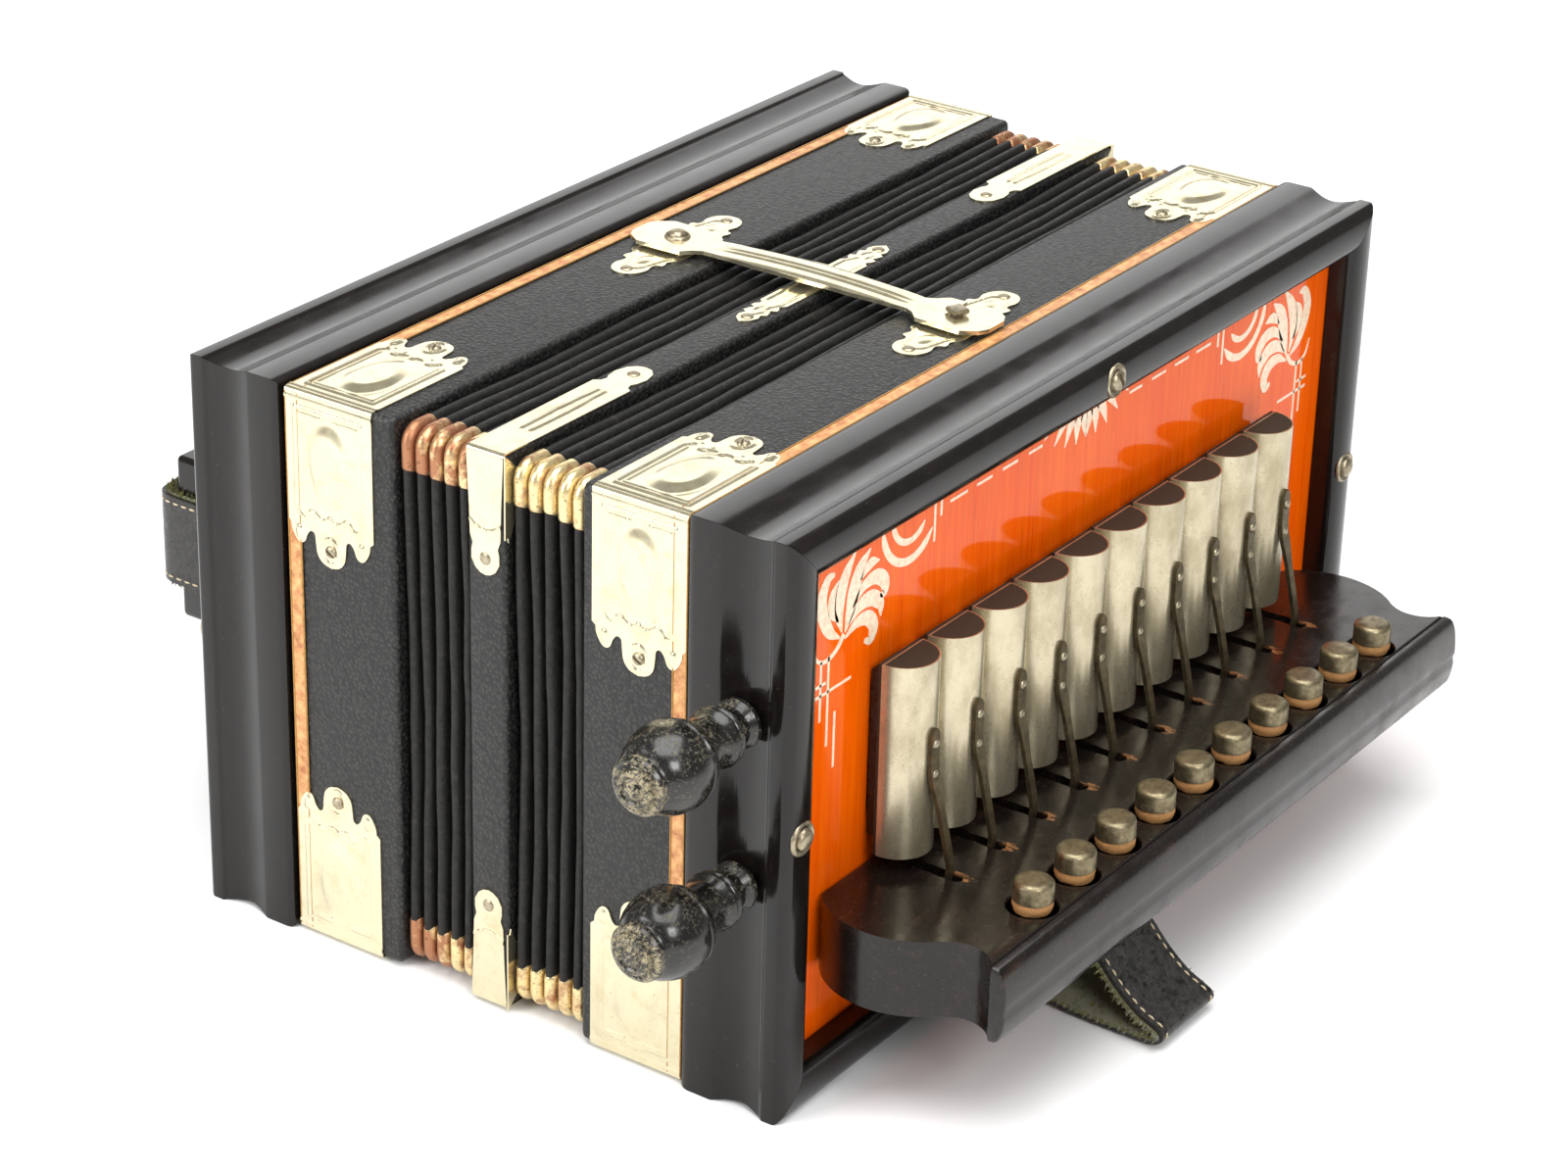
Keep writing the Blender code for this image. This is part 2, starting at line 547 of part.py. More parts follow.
def make_bass_side():
    make_casing("bass_moulding", mirrored(casing_section()), MATERIALS["black_lacquer"])
    panel = make_panel("bass_panel", DEPTH - RIM_DEPTH - GAP - PANEL_THICK, MATERIALS["black_lacquer"])
    face = DEPTH - RIM_DEPTH + GAP
    shell = new_object(
        "bass_box", box((-BOX_HALF_LENGTH, face, BOX_LOW), (BOX_HALF_LENGTH, BOX_BACK, BOX_HIGH)),
        MATERIALS["black_lacquer"],
    )
    cut_box(shell, "box_hollow", (-BOX_HALF_LENGTH + BOX_WALL, face - 1, BOX_LOW + BOX_WALL),
            (BOX_HALF_LENGTH - BOX_WALL, BOX_BACK - BOX_WALL, BOX_HIGH - BOX_WALL))
    keys = [(f"bass_key_{i}", x, 1) for i, x in enumerate(BASS_KEY_X, 1)] + [("air_key", AIR_KEY_X, -1)]
    for name, x, z_sign in keys:
        spoon_key(name, x, z_sign, MATERIALS["nickel"])
        wall_z = BOX_HIGH if z_sign > 0 else BOX_LOW
        low, high = sorted((wall_z - z_sign * (BOX_WALL + 1), wall_z + z_sign))
        cut_box(shell, f"{name}_slot", (x - 4.5, 192, low), (x + 4.5, 203, high))
        pallet_z = wall_z - z_sign * 23.0
        cut_box(panel, f"{name}_wind_hole", (x - 5, face - 6, pallet_z - 6), (x + 5, face + 1, pallet_z + 6))
    make_frame("bass_bellows_frame", BASS_FRAME)
    make_reed_block("bass_reed_block", (-90.0, 148.0, 55.0), (90.0, DEPTH - RIM_DEPTH - 2 * GAP - PANEL_THICK, 107.0),
                    6, 18.0, True)
    thick = 3.0
    end_x = BOX_HALF_LENGTH + GAP + thick / 2
    arch_start, arch_half = 230.6, 100.0
    rise = HAND_STRAP_PEAK - arch_start
    shares = [i / 8 for i in range(9)]
    arch = [(arch_half * (1 - share), arch_start + rise * math.sin(math.pi / 2 * share)) for share in shares]
    right = [(end_x, 186.0), (end_x, 224.0), (end_x - 0.6, 227.4), (end_x - 2.6, 229.4), *arch]
    path = right + [(-x, y) for x, y in reversed(right[:-1])]
    middle = (BOX_LOW + BOX_HIGH) / 2
    strap = ribbon(path, middle - STRAP_WIDTH / 2, middle + STRAP_WIDTH / 2, thick, "z")
    new_object("hand_strap", strap, MATERIALS["strap_leather"], smooth_angle=50)


MATERIALS = {}


def make_materials():
    MATERIALS.update({
        "black_lacquer": finish("black_lacquer", (0.02, 0.018, 0.018), 0.3),
        "stained_panel": finish("stained_panel", (0.75, 0.14, 0.02), 0.35),
        "leathercloth": finish("leathercloth", (0.03, 0.03, 0.032), 0.6),
        "bellows_cloth": finish("bellows_cloth", (0.02, 0.02, 0.022), 0.75),
        "nickel": finish("nickel", (0.82, 0.77, 0.62), 0.3, 1.0),
        "tin": finish("tin", (0.55, 0.53, 0.47), 0.4, 1.0),
        "steel": finish("steel", (0.35, 0.34, 0.32), 0.45, 1.0),
        "turned_wood": finish("turned_wood", (0.03, 0.028, 0.025), 0.35),
        "bare_wood": finish("bare_wood", (0.55, 0.38, 0.2), 0.7),
        "strap_leather": finish("strap_leather", (0.025, 0.022, 0.02), 0.5),
        "guide": finish("guide", (0.8, 0.1, 0.8), 0.5),
    })


clear_scene()
make_materials()
make_treble_side()
make_bass_side()
make_frame("middle_frame", MIDDLE_FRAME)
make_bellows("treble_bellows", TREBLE_FRAME[1], MIDDLE_FRAME[0])
make_bellows("bass_bellows", MIDDLE_FRAME[1], BASS_FRAME[0])
make_corner_plates()
make_middle_clips()
make_ornament_plate()
make_latch()
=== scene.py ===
"""The looks of a one-row button accordion (melodeon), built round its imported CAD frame.

Meshes are drawn in millimetres in the casing's own frame: x runs along the casing and is zero at its middle,
y runs along the bellows and is zero at the treble rim, and z is the height above the floor. make() turns a
drawing into a piece in the row frame, in metres. Where a piece goes comes from the CAD nodes' boxes.
"""

import math
import random

import bmesh
import bpy
import numpy as np
from mathutils import Matrix, Vector, noise
from mathutils.geometry import delaunay_2d_cdt


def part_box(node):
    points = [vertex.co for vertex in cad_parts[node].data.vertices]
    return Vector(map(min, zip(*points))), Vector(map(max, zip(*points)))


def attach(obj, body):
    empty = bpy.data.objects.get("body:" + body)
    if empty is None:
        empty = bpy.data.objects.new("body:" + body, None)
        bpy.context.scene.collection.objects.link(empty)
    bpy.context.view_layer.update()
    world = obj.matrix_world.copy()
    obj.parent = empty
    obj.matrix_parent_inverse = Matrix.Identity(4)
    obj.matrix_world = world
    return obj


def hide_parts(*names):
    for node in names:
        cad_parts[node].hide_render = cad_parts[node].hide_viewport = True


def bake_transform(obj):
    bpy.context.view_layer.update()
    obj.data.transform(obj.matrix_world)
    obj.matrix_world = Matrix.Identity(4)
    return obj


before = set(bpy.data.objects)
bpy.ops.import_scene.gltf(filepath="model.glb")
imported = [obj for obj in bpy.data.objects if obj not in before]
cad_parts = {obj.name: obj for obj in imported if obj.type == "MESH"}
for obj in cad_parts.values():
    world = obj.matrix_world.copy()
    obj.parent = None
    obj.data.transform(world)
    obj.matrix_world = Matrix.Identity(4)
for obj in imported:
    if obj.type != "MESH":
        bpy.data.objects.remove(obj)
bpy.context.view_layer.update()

MM = 0.001
_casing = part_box("treble_moulding")
ORIGIN = Vector(((_casing[0].x + _casing[1].x) / 2, _casing[0].y, _casing[0].z))


def node_box(node):
    """The node's lowest and highest corners in the drawing frame, in millimetres."""
    low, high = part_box(node)
    return (low - ORIGIN) / MM, (high - ORIGIN) / MM


BOX = {name: node_box(name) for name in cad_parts}


def centre_of(node):
    """The middle of a node's box, as x, y and z."""
    return [(low + high) / 2 for low, high in zip(*BOX[node])]


# Driving dimensions from the frame, in millimetres
HALF_LENGTH = BOX["treble_moulding"][1].x
HEIGHT = BOX["treble_moulding"][1].z
MIDDLE_Z = HEIGHT / 2
CASING_DEPTH = BOX["treble_moulding"][1].y
DEPTH = BOX["bass_moulding"][1].y
FRAME_INSET = HALF_LENGTH - BOX["treble_bellows_frame"][1].x
BOARD_TOP = BOX["fingerboard"][1].z
BOARD_BOTTOM = BOX["fingerboard"][0].z
BOARD_X = centre_of("fingerboard")[0]
KEYS = 10
FIRST_KEY, BUTTON_Y, _ = centre_of("button_01")
KEY_PITCH = (centre_of("button_10")[0] - FIRST_KEY) / (KEYS - 1)
PANEL_FACE = BOX["treble_face_panel"][0].y

# Dimensions of the visible pieces alone
FRAME_WALL = 8.0
RIM_WIDTH, CASING_WALL = 11.8, 10.0
RIM_BULGE = 1.9
MITRE_GAP = 0.06
SLOT_FRONT = -18.2


# ---------------------------------------------------------------- materials


def rgb(red, green, blue):
    """A display colour, 0 to 255, as a linear one."""
    def linear(value):
        share = value / 255
        return share / 12.92 if share <= 0.04045 else ((share + 0.055) / 1.055) ** 2.4
    return (linear(red), linear(green), linear(blue), 1.0)


class Finish:
    """A Principled material built from procedural layers in the piece's own coordinates."""

    def __init__(self, slot, roughness=0.5, metallic=0.0, **sockets):
        self.material = bpy.data.materials.new(slot)
        self.material.use_nodes = True
        self.tree = self.material.node_tree
        self.shader = self.tree.nodes["Principled BSDF"]
        self.point = self.tree.nodes.new("ShaderNodeTexCoord").outputs["Object"]
        self.normal = None
        for name, value in {"Roughness": roughness, "Metallic": metallic, **sockets}.items():
            self.shader.inputs[name.replace("_", " ")].default_value = value

    def link(self, socket, value):
        if isinstance(value, bpy.types.NodeSocket):
            self.tree.links.new(value, socket)
        else:
            socket.default_value = value

    def stretched(self, stretch):
        """The piece's coordinates with each axis scaled, so that a pattern runs along the smaller numbers."""
        node = self.tree.nodes.new("ShaderNodeVectorMath")
        node.operation = "MULTIPLY"
        self.link(node.inputs[0], self.point)
        node.inputs[1].default_value = stretch
        return node.outputs[0]

    def noise(self, size, detail=3.0, roughness=0.55, stretch=(1, 1, 1), distortion=0.0):
        """Cloudy noise whose features are about size millimetres across."""
        node = self.tree.nodes.new("ShaderNodeTexNoise")
        self.link(node.inputs["Vector"], self.stretched(stretch))
        node.inputs["Scale"].default_value = 1 / (size * MM)
        node.inputs["Detail"].default_value = detail
        node.inputs["Roughness"].default_value = roughness
        node.inputs["Distortion"].default_value = distortion
        return node.outputs[0]

    def cells(self, size):
        """The distance from the middle of cells about size millimetres across."""
        node = self.tree.nodes.new("ShaderNodeTexVoronoi")
        self.link(node.inputs["Vector"], self.stretched((1, 1, 1)))
        node.inputs["Scale"].default_value = 1 / (size * MM)
        return node.outputs["Distance"]

    def axis(self, letter):
        """The coordinate along one axis, in metres."""
        node = self.tree.nodes.new("ShaderNodeSeparateXYZ")
        self.link(node.inputs[0], self.point)
        return node.outputs["XYZ".index(letter)]

    def maths(self, operation, a, b=0.0, clamp=False):
        node = self.tree.nodes.new("ShaderNodeMath")
        node.operation = operation
        node.use_clamp = clamp
        self.link(node.inputs[0], a)
        self.link(node.inputs[1], b)
        return node.outputs[0]

    def times(self, a, b):
        return self.maths("MULTIPLY", a, b)

    def plus(self, a, b):
        return self.maths("ADD", a, b)

    def minus(self, a, b):
        return self.maths("SUBTRACT", a, b)

    def over(self, a, b, clamp=False):
        return self.maths("DIVIDE", a, b, clamp)

    def ramp(self, factor, *stops):
        """A colour ramp through (position, colour or grey) stops."""
        node = self.tree.nodes.new("ShaderNodeValToRGB")
        self.link(node.inputs[0], factor)
        elements = node.color_ramp.elements
        while len(elements) < len(stops):
            elements.new(0.5)
        for element, (position, colour) in zip(elements, stops):
            element.position = position
            element.color = colour if isinstance(colour, tuple) else (colour, colour, colour, 1)
        return node.outputs["Color"]

    def patches(self, low, high, *noise, **more):
        """Noise spread between two (level, value) stops."""
        return self.ramp(self.noise(*noise, **more), low, high)

    def mix(self, factor, a, b):
        """The colour a where factor is 0 and b where it is 1."""
        node = self.tree.nodes.new("ShaderNodeMix")
        node.data_type = "RGBA"
        self.link(node.inputs[0], factor)
        self.link(node.inputs[6], a)
        self.link(node.inputs[7], b)
        return node.outputs[2]

    def colour(self, value):
        self.link(self.shader.inputs["Base Color"], value)
        return self

    def rough(self, value):
        self.link(self.shader.inputs["Roughness"], value)
        return self

    def bump(self, height, depth, strength=1.0):
        """Adds a bump layer whose full height is depth millimetres."""
        node = self.tree.nodes.new("ShaderNodeBump")
        node.inputs["Strength"].default_value = strength
        node.inputs["Distance"].default_value = depth * MM
        self.link(node.inputs["Height"], height)
        if self.normal:
            self.link(node.inputs["Normal"], self.normal)
        self.normal = node.outputs["Normal"]
        self.link(self.shader.inputs["Normal"], self.normal)
        return self


def casing_lacquer():
    """Black french polish over wood: fine streaks, hazy patches and a little dust."""
    look = Finish("casing_lacquer", Specular_IOR_Level=0.36)
    streaks = look.noise(2.2, 4, 0.6, stretch=(0.25, 1, 0.25))
    specks = look.patches((0.7, 0.0), (0.76, 1.0), 0.8, 2)
    base = look.mix(look.noise(26.0, 4), rgb(12, 10, 9), rgb(22, 18, 16))
    base = look.mix(look.ramp(streaks, (0.5, 0.0), (0.8, 0.4)), base, rgb(40, 34, 30))
    look.colour(look.mix(look.times(specks, 0.2), base, rgb(120, 108, 90)))
    look.rough(look.patches((0.3, 0.1), (0.75, 0.24), 11.0, 5))
    look.bump(streaks, 0.03, 0.3)
    return look.bump(look.noise(0.5, 3), 0.008, 0.4)


def keyboard_lacquer():
    """The same polish, dustier, worn brown, and split to bare wood at the front of each key slot."""
    look = Finish("keyboard_lacquer", Specular_IOR_Level=0.4)
    streaks = look.noise(3.0, 5, 0.65, stretch=(0.18, 1, 1))
    base = look.mix(look.noise(17.0, 5), rgb(11, 9, 8), rgb(28, 22, 18))
    base = look.mix(look.ramp(streaks, (0.55, 0.0), (0.85, 0.5)), base, rgb(74, 50, 38))
    dust = look.patches((0.6, 0.0), (0.72, 0.5), 0.8, 4, 0.75)
    base = look.mix(dust, base, rgb(104, 92, 76))
    from_key = look.minus(look.axis("X"), ORIGIN.x + (FIRST_KEY - KEY_PITCH / 2) * MM)
    place = look.maths("FRACT", look.over(from_key, KEY_PITCH * MM))
    middle, half_width, half_length = 0.56, 2.2, 3.6
    across = look.times(look.minus(place, middle), KEY_PITCH / half_width)
    from_front = look.minus(look.axis("Y"), ORIGIN.y + (SLOT_FRONT - 0.2) * MM)
    along = look.over(from_front, half_length * MM)
    oval = look.plus(look.times(across, across), look.times(along, along))
    ragged = look.times(look.noise(2.4, 5, 0.8, stretch=(1, 0.7, 1)), 4.0)
    spread = look.plus(oval, ragged)
    chipped = look.ramp(look.over(spread, 10.0), (0.25, 1.0), (0.28, 0.0))
    on_top = look.maths("GREATER_THAN", look.axis("Z"), ORIGIN.z + (BOARD_TOP - 0.6) * MM)
    keys_end = (KEYS - 1) / 2 * KEY_PITCH + 8
    from_middle = look.maths("ABSOLUTE", look.minus(look.axis("X"), ORIGIN.x + BOARD_X * MM))
    near_keys = look.maths("LESS_THAN", from_middle, keys_end * MM)
    fibres = look.patches((0.38, 0.0), (0.6, 1.0), 0.9, 4, stretch=(1, 0.3, 1))
    raw = look.mix(fibres, rgb(138, 94, 58), rgb(44, 27, 16))
    mask = look.times(look.times(chipped, on_top), near_keys)
    look.colour(look.mix(mask, base, raw))
    look.rough(look.patches((0.3, 0.14), (0.75, 0.36), 9.0, 5))
    look.bump(streaks, 0.05, 0.4)
    look.bump(look.noise(5.0, 4), 0.12, 0.4)
    return look.bump(look.noise(0.6, 3), 0.02, 0.5)


def face_panel():
    """Orange-red varnish on straight-grained wood, the grain upright."""
    look = Finish("face_panel", Specular_IOR_Level=0.2)
    grain = look.noise(1.3, 5, 0.6, stretch=(1, 1, 0.035), distortion=0.15)
    bands = look.noise(16.0, 3, 0.5, stretch=(1, 1, 0.2))
    pores = look.patches((0.3, 1.0), (0.42, 0.0), 0.35, 3, 0.6, stretch=(1, 1, 0.02))
    base = look.mix(bands, rgb(230, 70, 0), rgb(252, 102, 2))
    base = look.mix(look.ramp(grain, (0.35, 0.0), (0.7, 0.55)), base, rgb(255, 120, 10))
    look.colour(look.mix(look.times(pores, 0.35), base, rgb(150, 36, 4)))
    look.rough(look.ramp(grain, (0.3, 0.05), (0.7, 0.1)))
    return look.bump(grain, 0.01, 0.2)


def painted_ornament():
    """Cream paint, thin in places so that the panel's orange comes through."""
    look = Finish("painted_ornament", 0.42, Coat_Weight=0.5, Coat_Roughness=0.16)
    worn = look.patches((0.42, 0.0), (0.7, 0.6), 1.4, 4, 0.7)
    look.colour(look.mix(worn, rgb(255, 236, 206), rgb(240, 160, 110)))
    return look.bump(look.noise(0.5, 3), 0.02, 0.5)


def leather_grain(look, pebble, depth):
    pebbles = look.cells(pebble)
    look.bump(pebbles, depth, 0.55)
    look.bump(look.noise(pebble * 6, 3), depth * 1.5, 0.3)
    return pebbles


def leathercloth():
    """Black pebbled book cloth, greyer on the high spots and scuffed brown in patches."""
    look = Finish("leathercloth", Specular_IOR_Level=0.5)
    pebbles = leather_grain(look, 1.1, 0.42)
    base = look.mix(look.ramp(pebbles, (0.1, 0.0), (0.55, 1.0)), rgb(46, 45, 42), rgb(12, 11, 11))
    scuffs = look.patches((0.6, 0.0), (0.8, 0.3), 9.0, 6, 0.75)
    base = look.mix(scuffs, base, rgb(78, 66, 54))
    specks = look.patches((0.7, 0.0), (0.78, 0.5), 0.7, 2)
    look.colour(look.mix(specks, base, rgb(130, 122, 104)))
    return look.rough(look.patches((0.3, 0.4), (0.7, 0.56), 1.6, 4))


def bellows_cloth():
    """Thin black bellows cloth, dusty, with a finer grain."""
    look = Finish("bellows_cloth", Specular_IOR_Level=0.35)
    pebbles = leather_grain(look, 0.8, 0.12)
    base = look.mix(pebbles, rgb(30, 29, 27), rgb(10, 10, 10))
    dust = look.patches((0.56, 0.0), (0.8, 0.5), 2.0, 6, 0.8)
    look.colour(look.mix(dust, base, rgb(92, 82, 70)))
    return look.rough(look.patches((0.3, 0.46), (0.7, 0.7), 3.0, 4))


def nickel_plate():
    """Bright plated sheet gone slightly yellow, with faint stains in the hollows."""
    look = Finish("nickel_plate", metallic=0.92)
    stains = look.patches((0.5, 0.0), (0.8, 0.6), 5.5, 6, 0.65)
    spots = look.patches((0.62, 0.0), (0.74, 0.7), 1.1, 4, 0.7)
    base = look.mix(look.noise(20.0, 3), rgb(226, 218, 190), rgb(212, 202, 168))
    base = look.mix(stains, base, rgb(188, 168, 122))
    look.colour(look.mix(spots, base, rgb(132, 108, 70)))
    look.rough(look.patches((0.3, 0.16), (0.75, 0.28), 4.0, 5))
    return look.bump(look.noise(1.8, 4), 0.03, 0.35)


def worn_gold():
    """Gilt brass caps worn through to copper, with dark pits. The bass group is redder."""
    look = Finish("worn_gold", metallic=0.8)
    turns_red, fade = 92.0, 26.0
    past_middle = look.minus(look.axis("Y"), ORIGIN.y + turns_red * MM)
    to_bass = look.over(past_middle, fade * MM, clamp=True)
    wear = look.plus(look.noise(5.0, 5, 0.7), look.times(to_bass, 0.24))
    base = look.mix(look.ramp(wear, (0.5, 0.0), (0.66, 1.0)), rgb(232, 210, 158), rgb(172, 120, 88))
    pits = look.patches((0.58, 0.0), (0.66, 0.9), 1.2, 5, 0.75)
    look.colour(look.mix(pits, base, rgb(84, 54, 32)))
    look.rough(look.mix(pits, look.ramp(wear, (0.4, 0.22), (0.7, 0.42)), (0.7, 0.7, 0.7, 1)))
    return look.bump(look.noise(0.9, 5, 0.75), 0.12, 0.6)


def plated_steel():
    """Dull brownish steel of the screws, pins, axle and levers."""
    look = Finish("plated_steel", metallic=0.9)
    rust = look.patches((0.45, 0.0), (0.75, 0.8), 1.6, 5, 0.7)
    look.colour(look.mix(rust, rgb(176, 166, 142), rgb(92, 70, 48)))
    look.rough(look.patches((0.3, 0.26), (0.7, 0.55), 1.2, 4))
    return look.bump(look.noise(0.7, 4), 0.04, 0.5)


def lever_steel():
    """Dark, oiled spring steel with worn bright edges."""
    look = Finish("lever_steel", metallic=0.85)
    patches = look.patches((0.4, 0.0), (0.75, 1.0), 3.0, 5, 0.7)
    look.colour(look.mix(patches, rgb(86, 78, 60), rgb(128, 112, 82)))
    look.rough(look.patches((0.3, 0.34), (0.7, 0.6), 1.4, 4))
    return look.bump(look.noise(0.7, 4), 0.04, 0.5)


def tin_sheet():
    """Tinned sheet with cloudy grey patches and fine pitting."""
    look = Finish("tin_sheet", metallic=0.75)
    clouds = look.patches((0.38, 0.0), (0.75, 1.0), 7.0, 6, 0.6, stretch=(1, 1, 0.5))
    base = look.mix(clouds, rgb(206, 196, 168), rgb(164, 152, 122))
    pits = look.patches((0.58, 0.0), (0.72, 0.6), 0.6, 4, 0.7)
    look.colour(look.mix(pits, base, rgb(96, 82, 58)))
    look.rough(look.ramp(clouds, (0.2, 0.26), (0.9, 0.34)))
    return look.bump(look.noise(1.5, 5, 0.6), 0.02, 0.3)


def pewter():
    """Dark pewter of the button caps, dented and brown in the pits."""
    look = Finish("pewter", metallic=0.9)
    clouds = look.patches((0.35, 0.0), (0.7, 1.0), 2.4, 6, 0.7)
    look.colour(look.mix(clouds, rgb(150, 140, 112), rgb(96, 84, 62)))
    look.rough(look.patches((0.3, 0.3), (0.7, 0.55), 1.0, 4))
    return look.bump(look.noise(0.7, 4), 0.05, 0.6)


def dark_end_and_gap_shade():
    """The painted brown-grey ends of the pallets, and painted shade on the back boards behind them, so that
    the gap behind each pallet reads as a dark line.
    """
    look = Finish("dark_end_and_gap_shade", 0.6)
    look.colour(look.mix(look.noise(1.2, 5, 0.7), rgb(50, 50, 38), rgb(24, 24, 17)))
    return look.bump(look.noise(0.6, 4), 0.06, 0.6)


def turned_wood():
    """Black paint on turned wood, scratched, and worn to a pale ground on the knobs' tips."""
    look = Finish("turned_wood", Specular_IOR_Level=0.5, Coat_Weight=0.2, Coat_Roughness=0.12)
    tip, fade = ORIGIN.x - (HALF_LENGTH + 37.0) * MM, 4.0 * MM
    to_tip = look.over(look.minus(tip, look.axis("X")), fade, clamp=True)
    flakes = look.plus(look.noise(1.0, 6, 0.85), look.times(look.noise(7.0, 3), 0.3))
    flakes = look.plus(flakes, look.times(to_tip, 0.07))
    flecks = look.ramp(flakes, (0.7, 0.0), (0.82, 1.0))
    scratches = look.patches((0.6, 0.0), (0.72, 0.6), 0.9, 4, 0.7, stretch=(1, 0.25, 0.25))
    base = look.mix(look.noise(2.0, 4), rgb(8, 8, 7), rgb(24, 23, 20))
    base = look.mix(scratches, base, rgb(96, 92, 80))
    worn = look.times(flecks, look.plus(0.35, look.times(to_tip, 0.4)))
    look.colour(look.mix(worn, base, rgb(186, 172, 136)))
    look.rough(look.mix(flecks, (0.22, 0.22, 0.22, 1), (0.7, 0.7, 0.7, 1)))
    return look.bump(look.minus(1.0, flecks), 0.08, 0.5)


def bare_wood():
    """Pale unpainted wood with fine grain."""
    look = Finish("bare_wood", 0.65)
    grain = look.noise(0.8, 5, 0.65, stretch=(0.12, 1, 1))
    look.colour(look.mix(grain, rgb(206, 158, 100), rgb(150, 98, 54)))
    return look.bump(grain, 0.1, 0.5)


def trim_strip():
    """A tan gilt-paper strip, mottled, with a fine cord texture."""
    look = Finish("trim_strip", 0.48)
    mottle = look.patches((0.35, 0.0), (0.65, 1.0), 3.4, 6, 0.7)
    base = look.mix(mottle, rgb(226, 172, 112), rgb(164, 98, 52))
    flecks = look.patches((0.58, 0.0), (0.72, 0.6), 0.7, 4, 0.7)
    look.colour(look.mix(flecks, base, rgb(92, 54, 28)))
    return look.bump(look.noise(0.9, 4), 0.12, 0.6)


def trim_border():
    """The strip's darker gilt edges."""
    look = Finish("trim_border", 0.4, metallic=0.5)
    look.colour(look.mix(look.noise(1.2, 4, 0.7), rgb(210, 160, 84), rgb(96, 58, 24)))
    return look.bump(look.noise(0.6, 3), 0.06, 0.5)


def strap_leather():
    """Black creased leather."""
    look = Finish("strap_leather", Specular_IOR_Level=0.5)
    creases = look.ramp(look.noise(2.6, 6, 0.7, distortion=1.2), (0.42, 0.0), (0.5, 1.0), (0.58, 0.0))
    base = look.mix(look.noise(7.0, 5), rgb(7, 7, 7), rgb(20, 19, 18))
    look.colour(look.mix(look.times(creases, 0.3), base, rgb(70, 62, 54)))
    look.rough(look.patches((0.3, 0.2), (0.7, 0.34), 3.0, 4))
    look.bump(look.noise(9.0, 3), 0.8, 0.5)
    look.bump(creases, 0.12, 0.6)
    return look.bump(look.cells(0.5), 0.04, 0.5)


def strap_plush():
    """Olive plush lining."""
    look = Finish("strap_plush", 0.95, Sheen_Weight=0.6, Sheen_Roughness=0.5)
    look.colour(look.mix(look.noise(1.2, 5, 0.7), rgb(112, 110, 38), rgb(52, 52, 20)))
    return look.bump(look.noise(0.35, 4, 0.7), 0.3, 0.8)


def linen_thread():
    """Cream sewing thread."""
    look = Finish("linen_thread", 0.8)
    look.colour(look.mix(look.noise(0.5, 4), rgb(222, 208, 178), rgb(168, 150, 116)))
    return look.bump(look.noise(0.25, 2), 0.05, 0.8)


LOOKS = {
    make_look.__name__: make_look().material
    for make_look in (
        casing_lacquer, keyboard_lacquer, face_panel, painted_ornament, leathercloth, bellows_cloth,
        nickel_plate, worn_gold, plated_steel, lever_steel, tin_sheet, pewter, dark_end_and_gap_shade, turned_wood,
        bare_wood, trim_strip, trim_border, strap_leather, strap_plush, linen_thread,
    )
}


# ---------------------------------------------------------------- drawing


def smooth_curve(points, per=6):
    """A Catmull-Rom curve through the points, per steps between two of them."""
    given = [np.array(p, float) for p in points]
    padded = [2 * given[0] - given[1], *given, 2 * given[-1] - given[-2]]
    made = []
    for a, b, c, d in zip(padded, padded[1:], padded[2:], padded[3:]):
        for step in range(per):
            t = step / per
            made.append(0.5 * (2 * b + (c - a) * t + (2 * a - 5 * b + 4 * c - d) * t * t
                               + (3 * b - a - 3 * c + d) * t ** 3))
    return [tuple(p) for p in (*made, given[-1])]


def arc(centre, radius, first, last, steps=8):
    """Points on an arc, angles in degrees. radius may be a pair, for an ellipse."""
    across, up = radius if isinstance(radius, tuple) else (radius, radius)
    angles = [math.radians(first + (last - first) * i / steps) for i in range(steps + 1)]
    return [(centre[0] + across * math.cos(a), centre[1] + up * math.sin(a)) for a in angles]


def directions(points):
    """The unit direction of a path at each of its points."""
    last = len(points) - 1
    return [(points[min(i + 1, last)] - points[max(i - 1, 0)]).normalized() for i in range(last + 1)]


def turned(angle, side, up):
    """The direction at this angle from side towards up."""
    return side * math.cos(angle) + up * math.sin(angle)


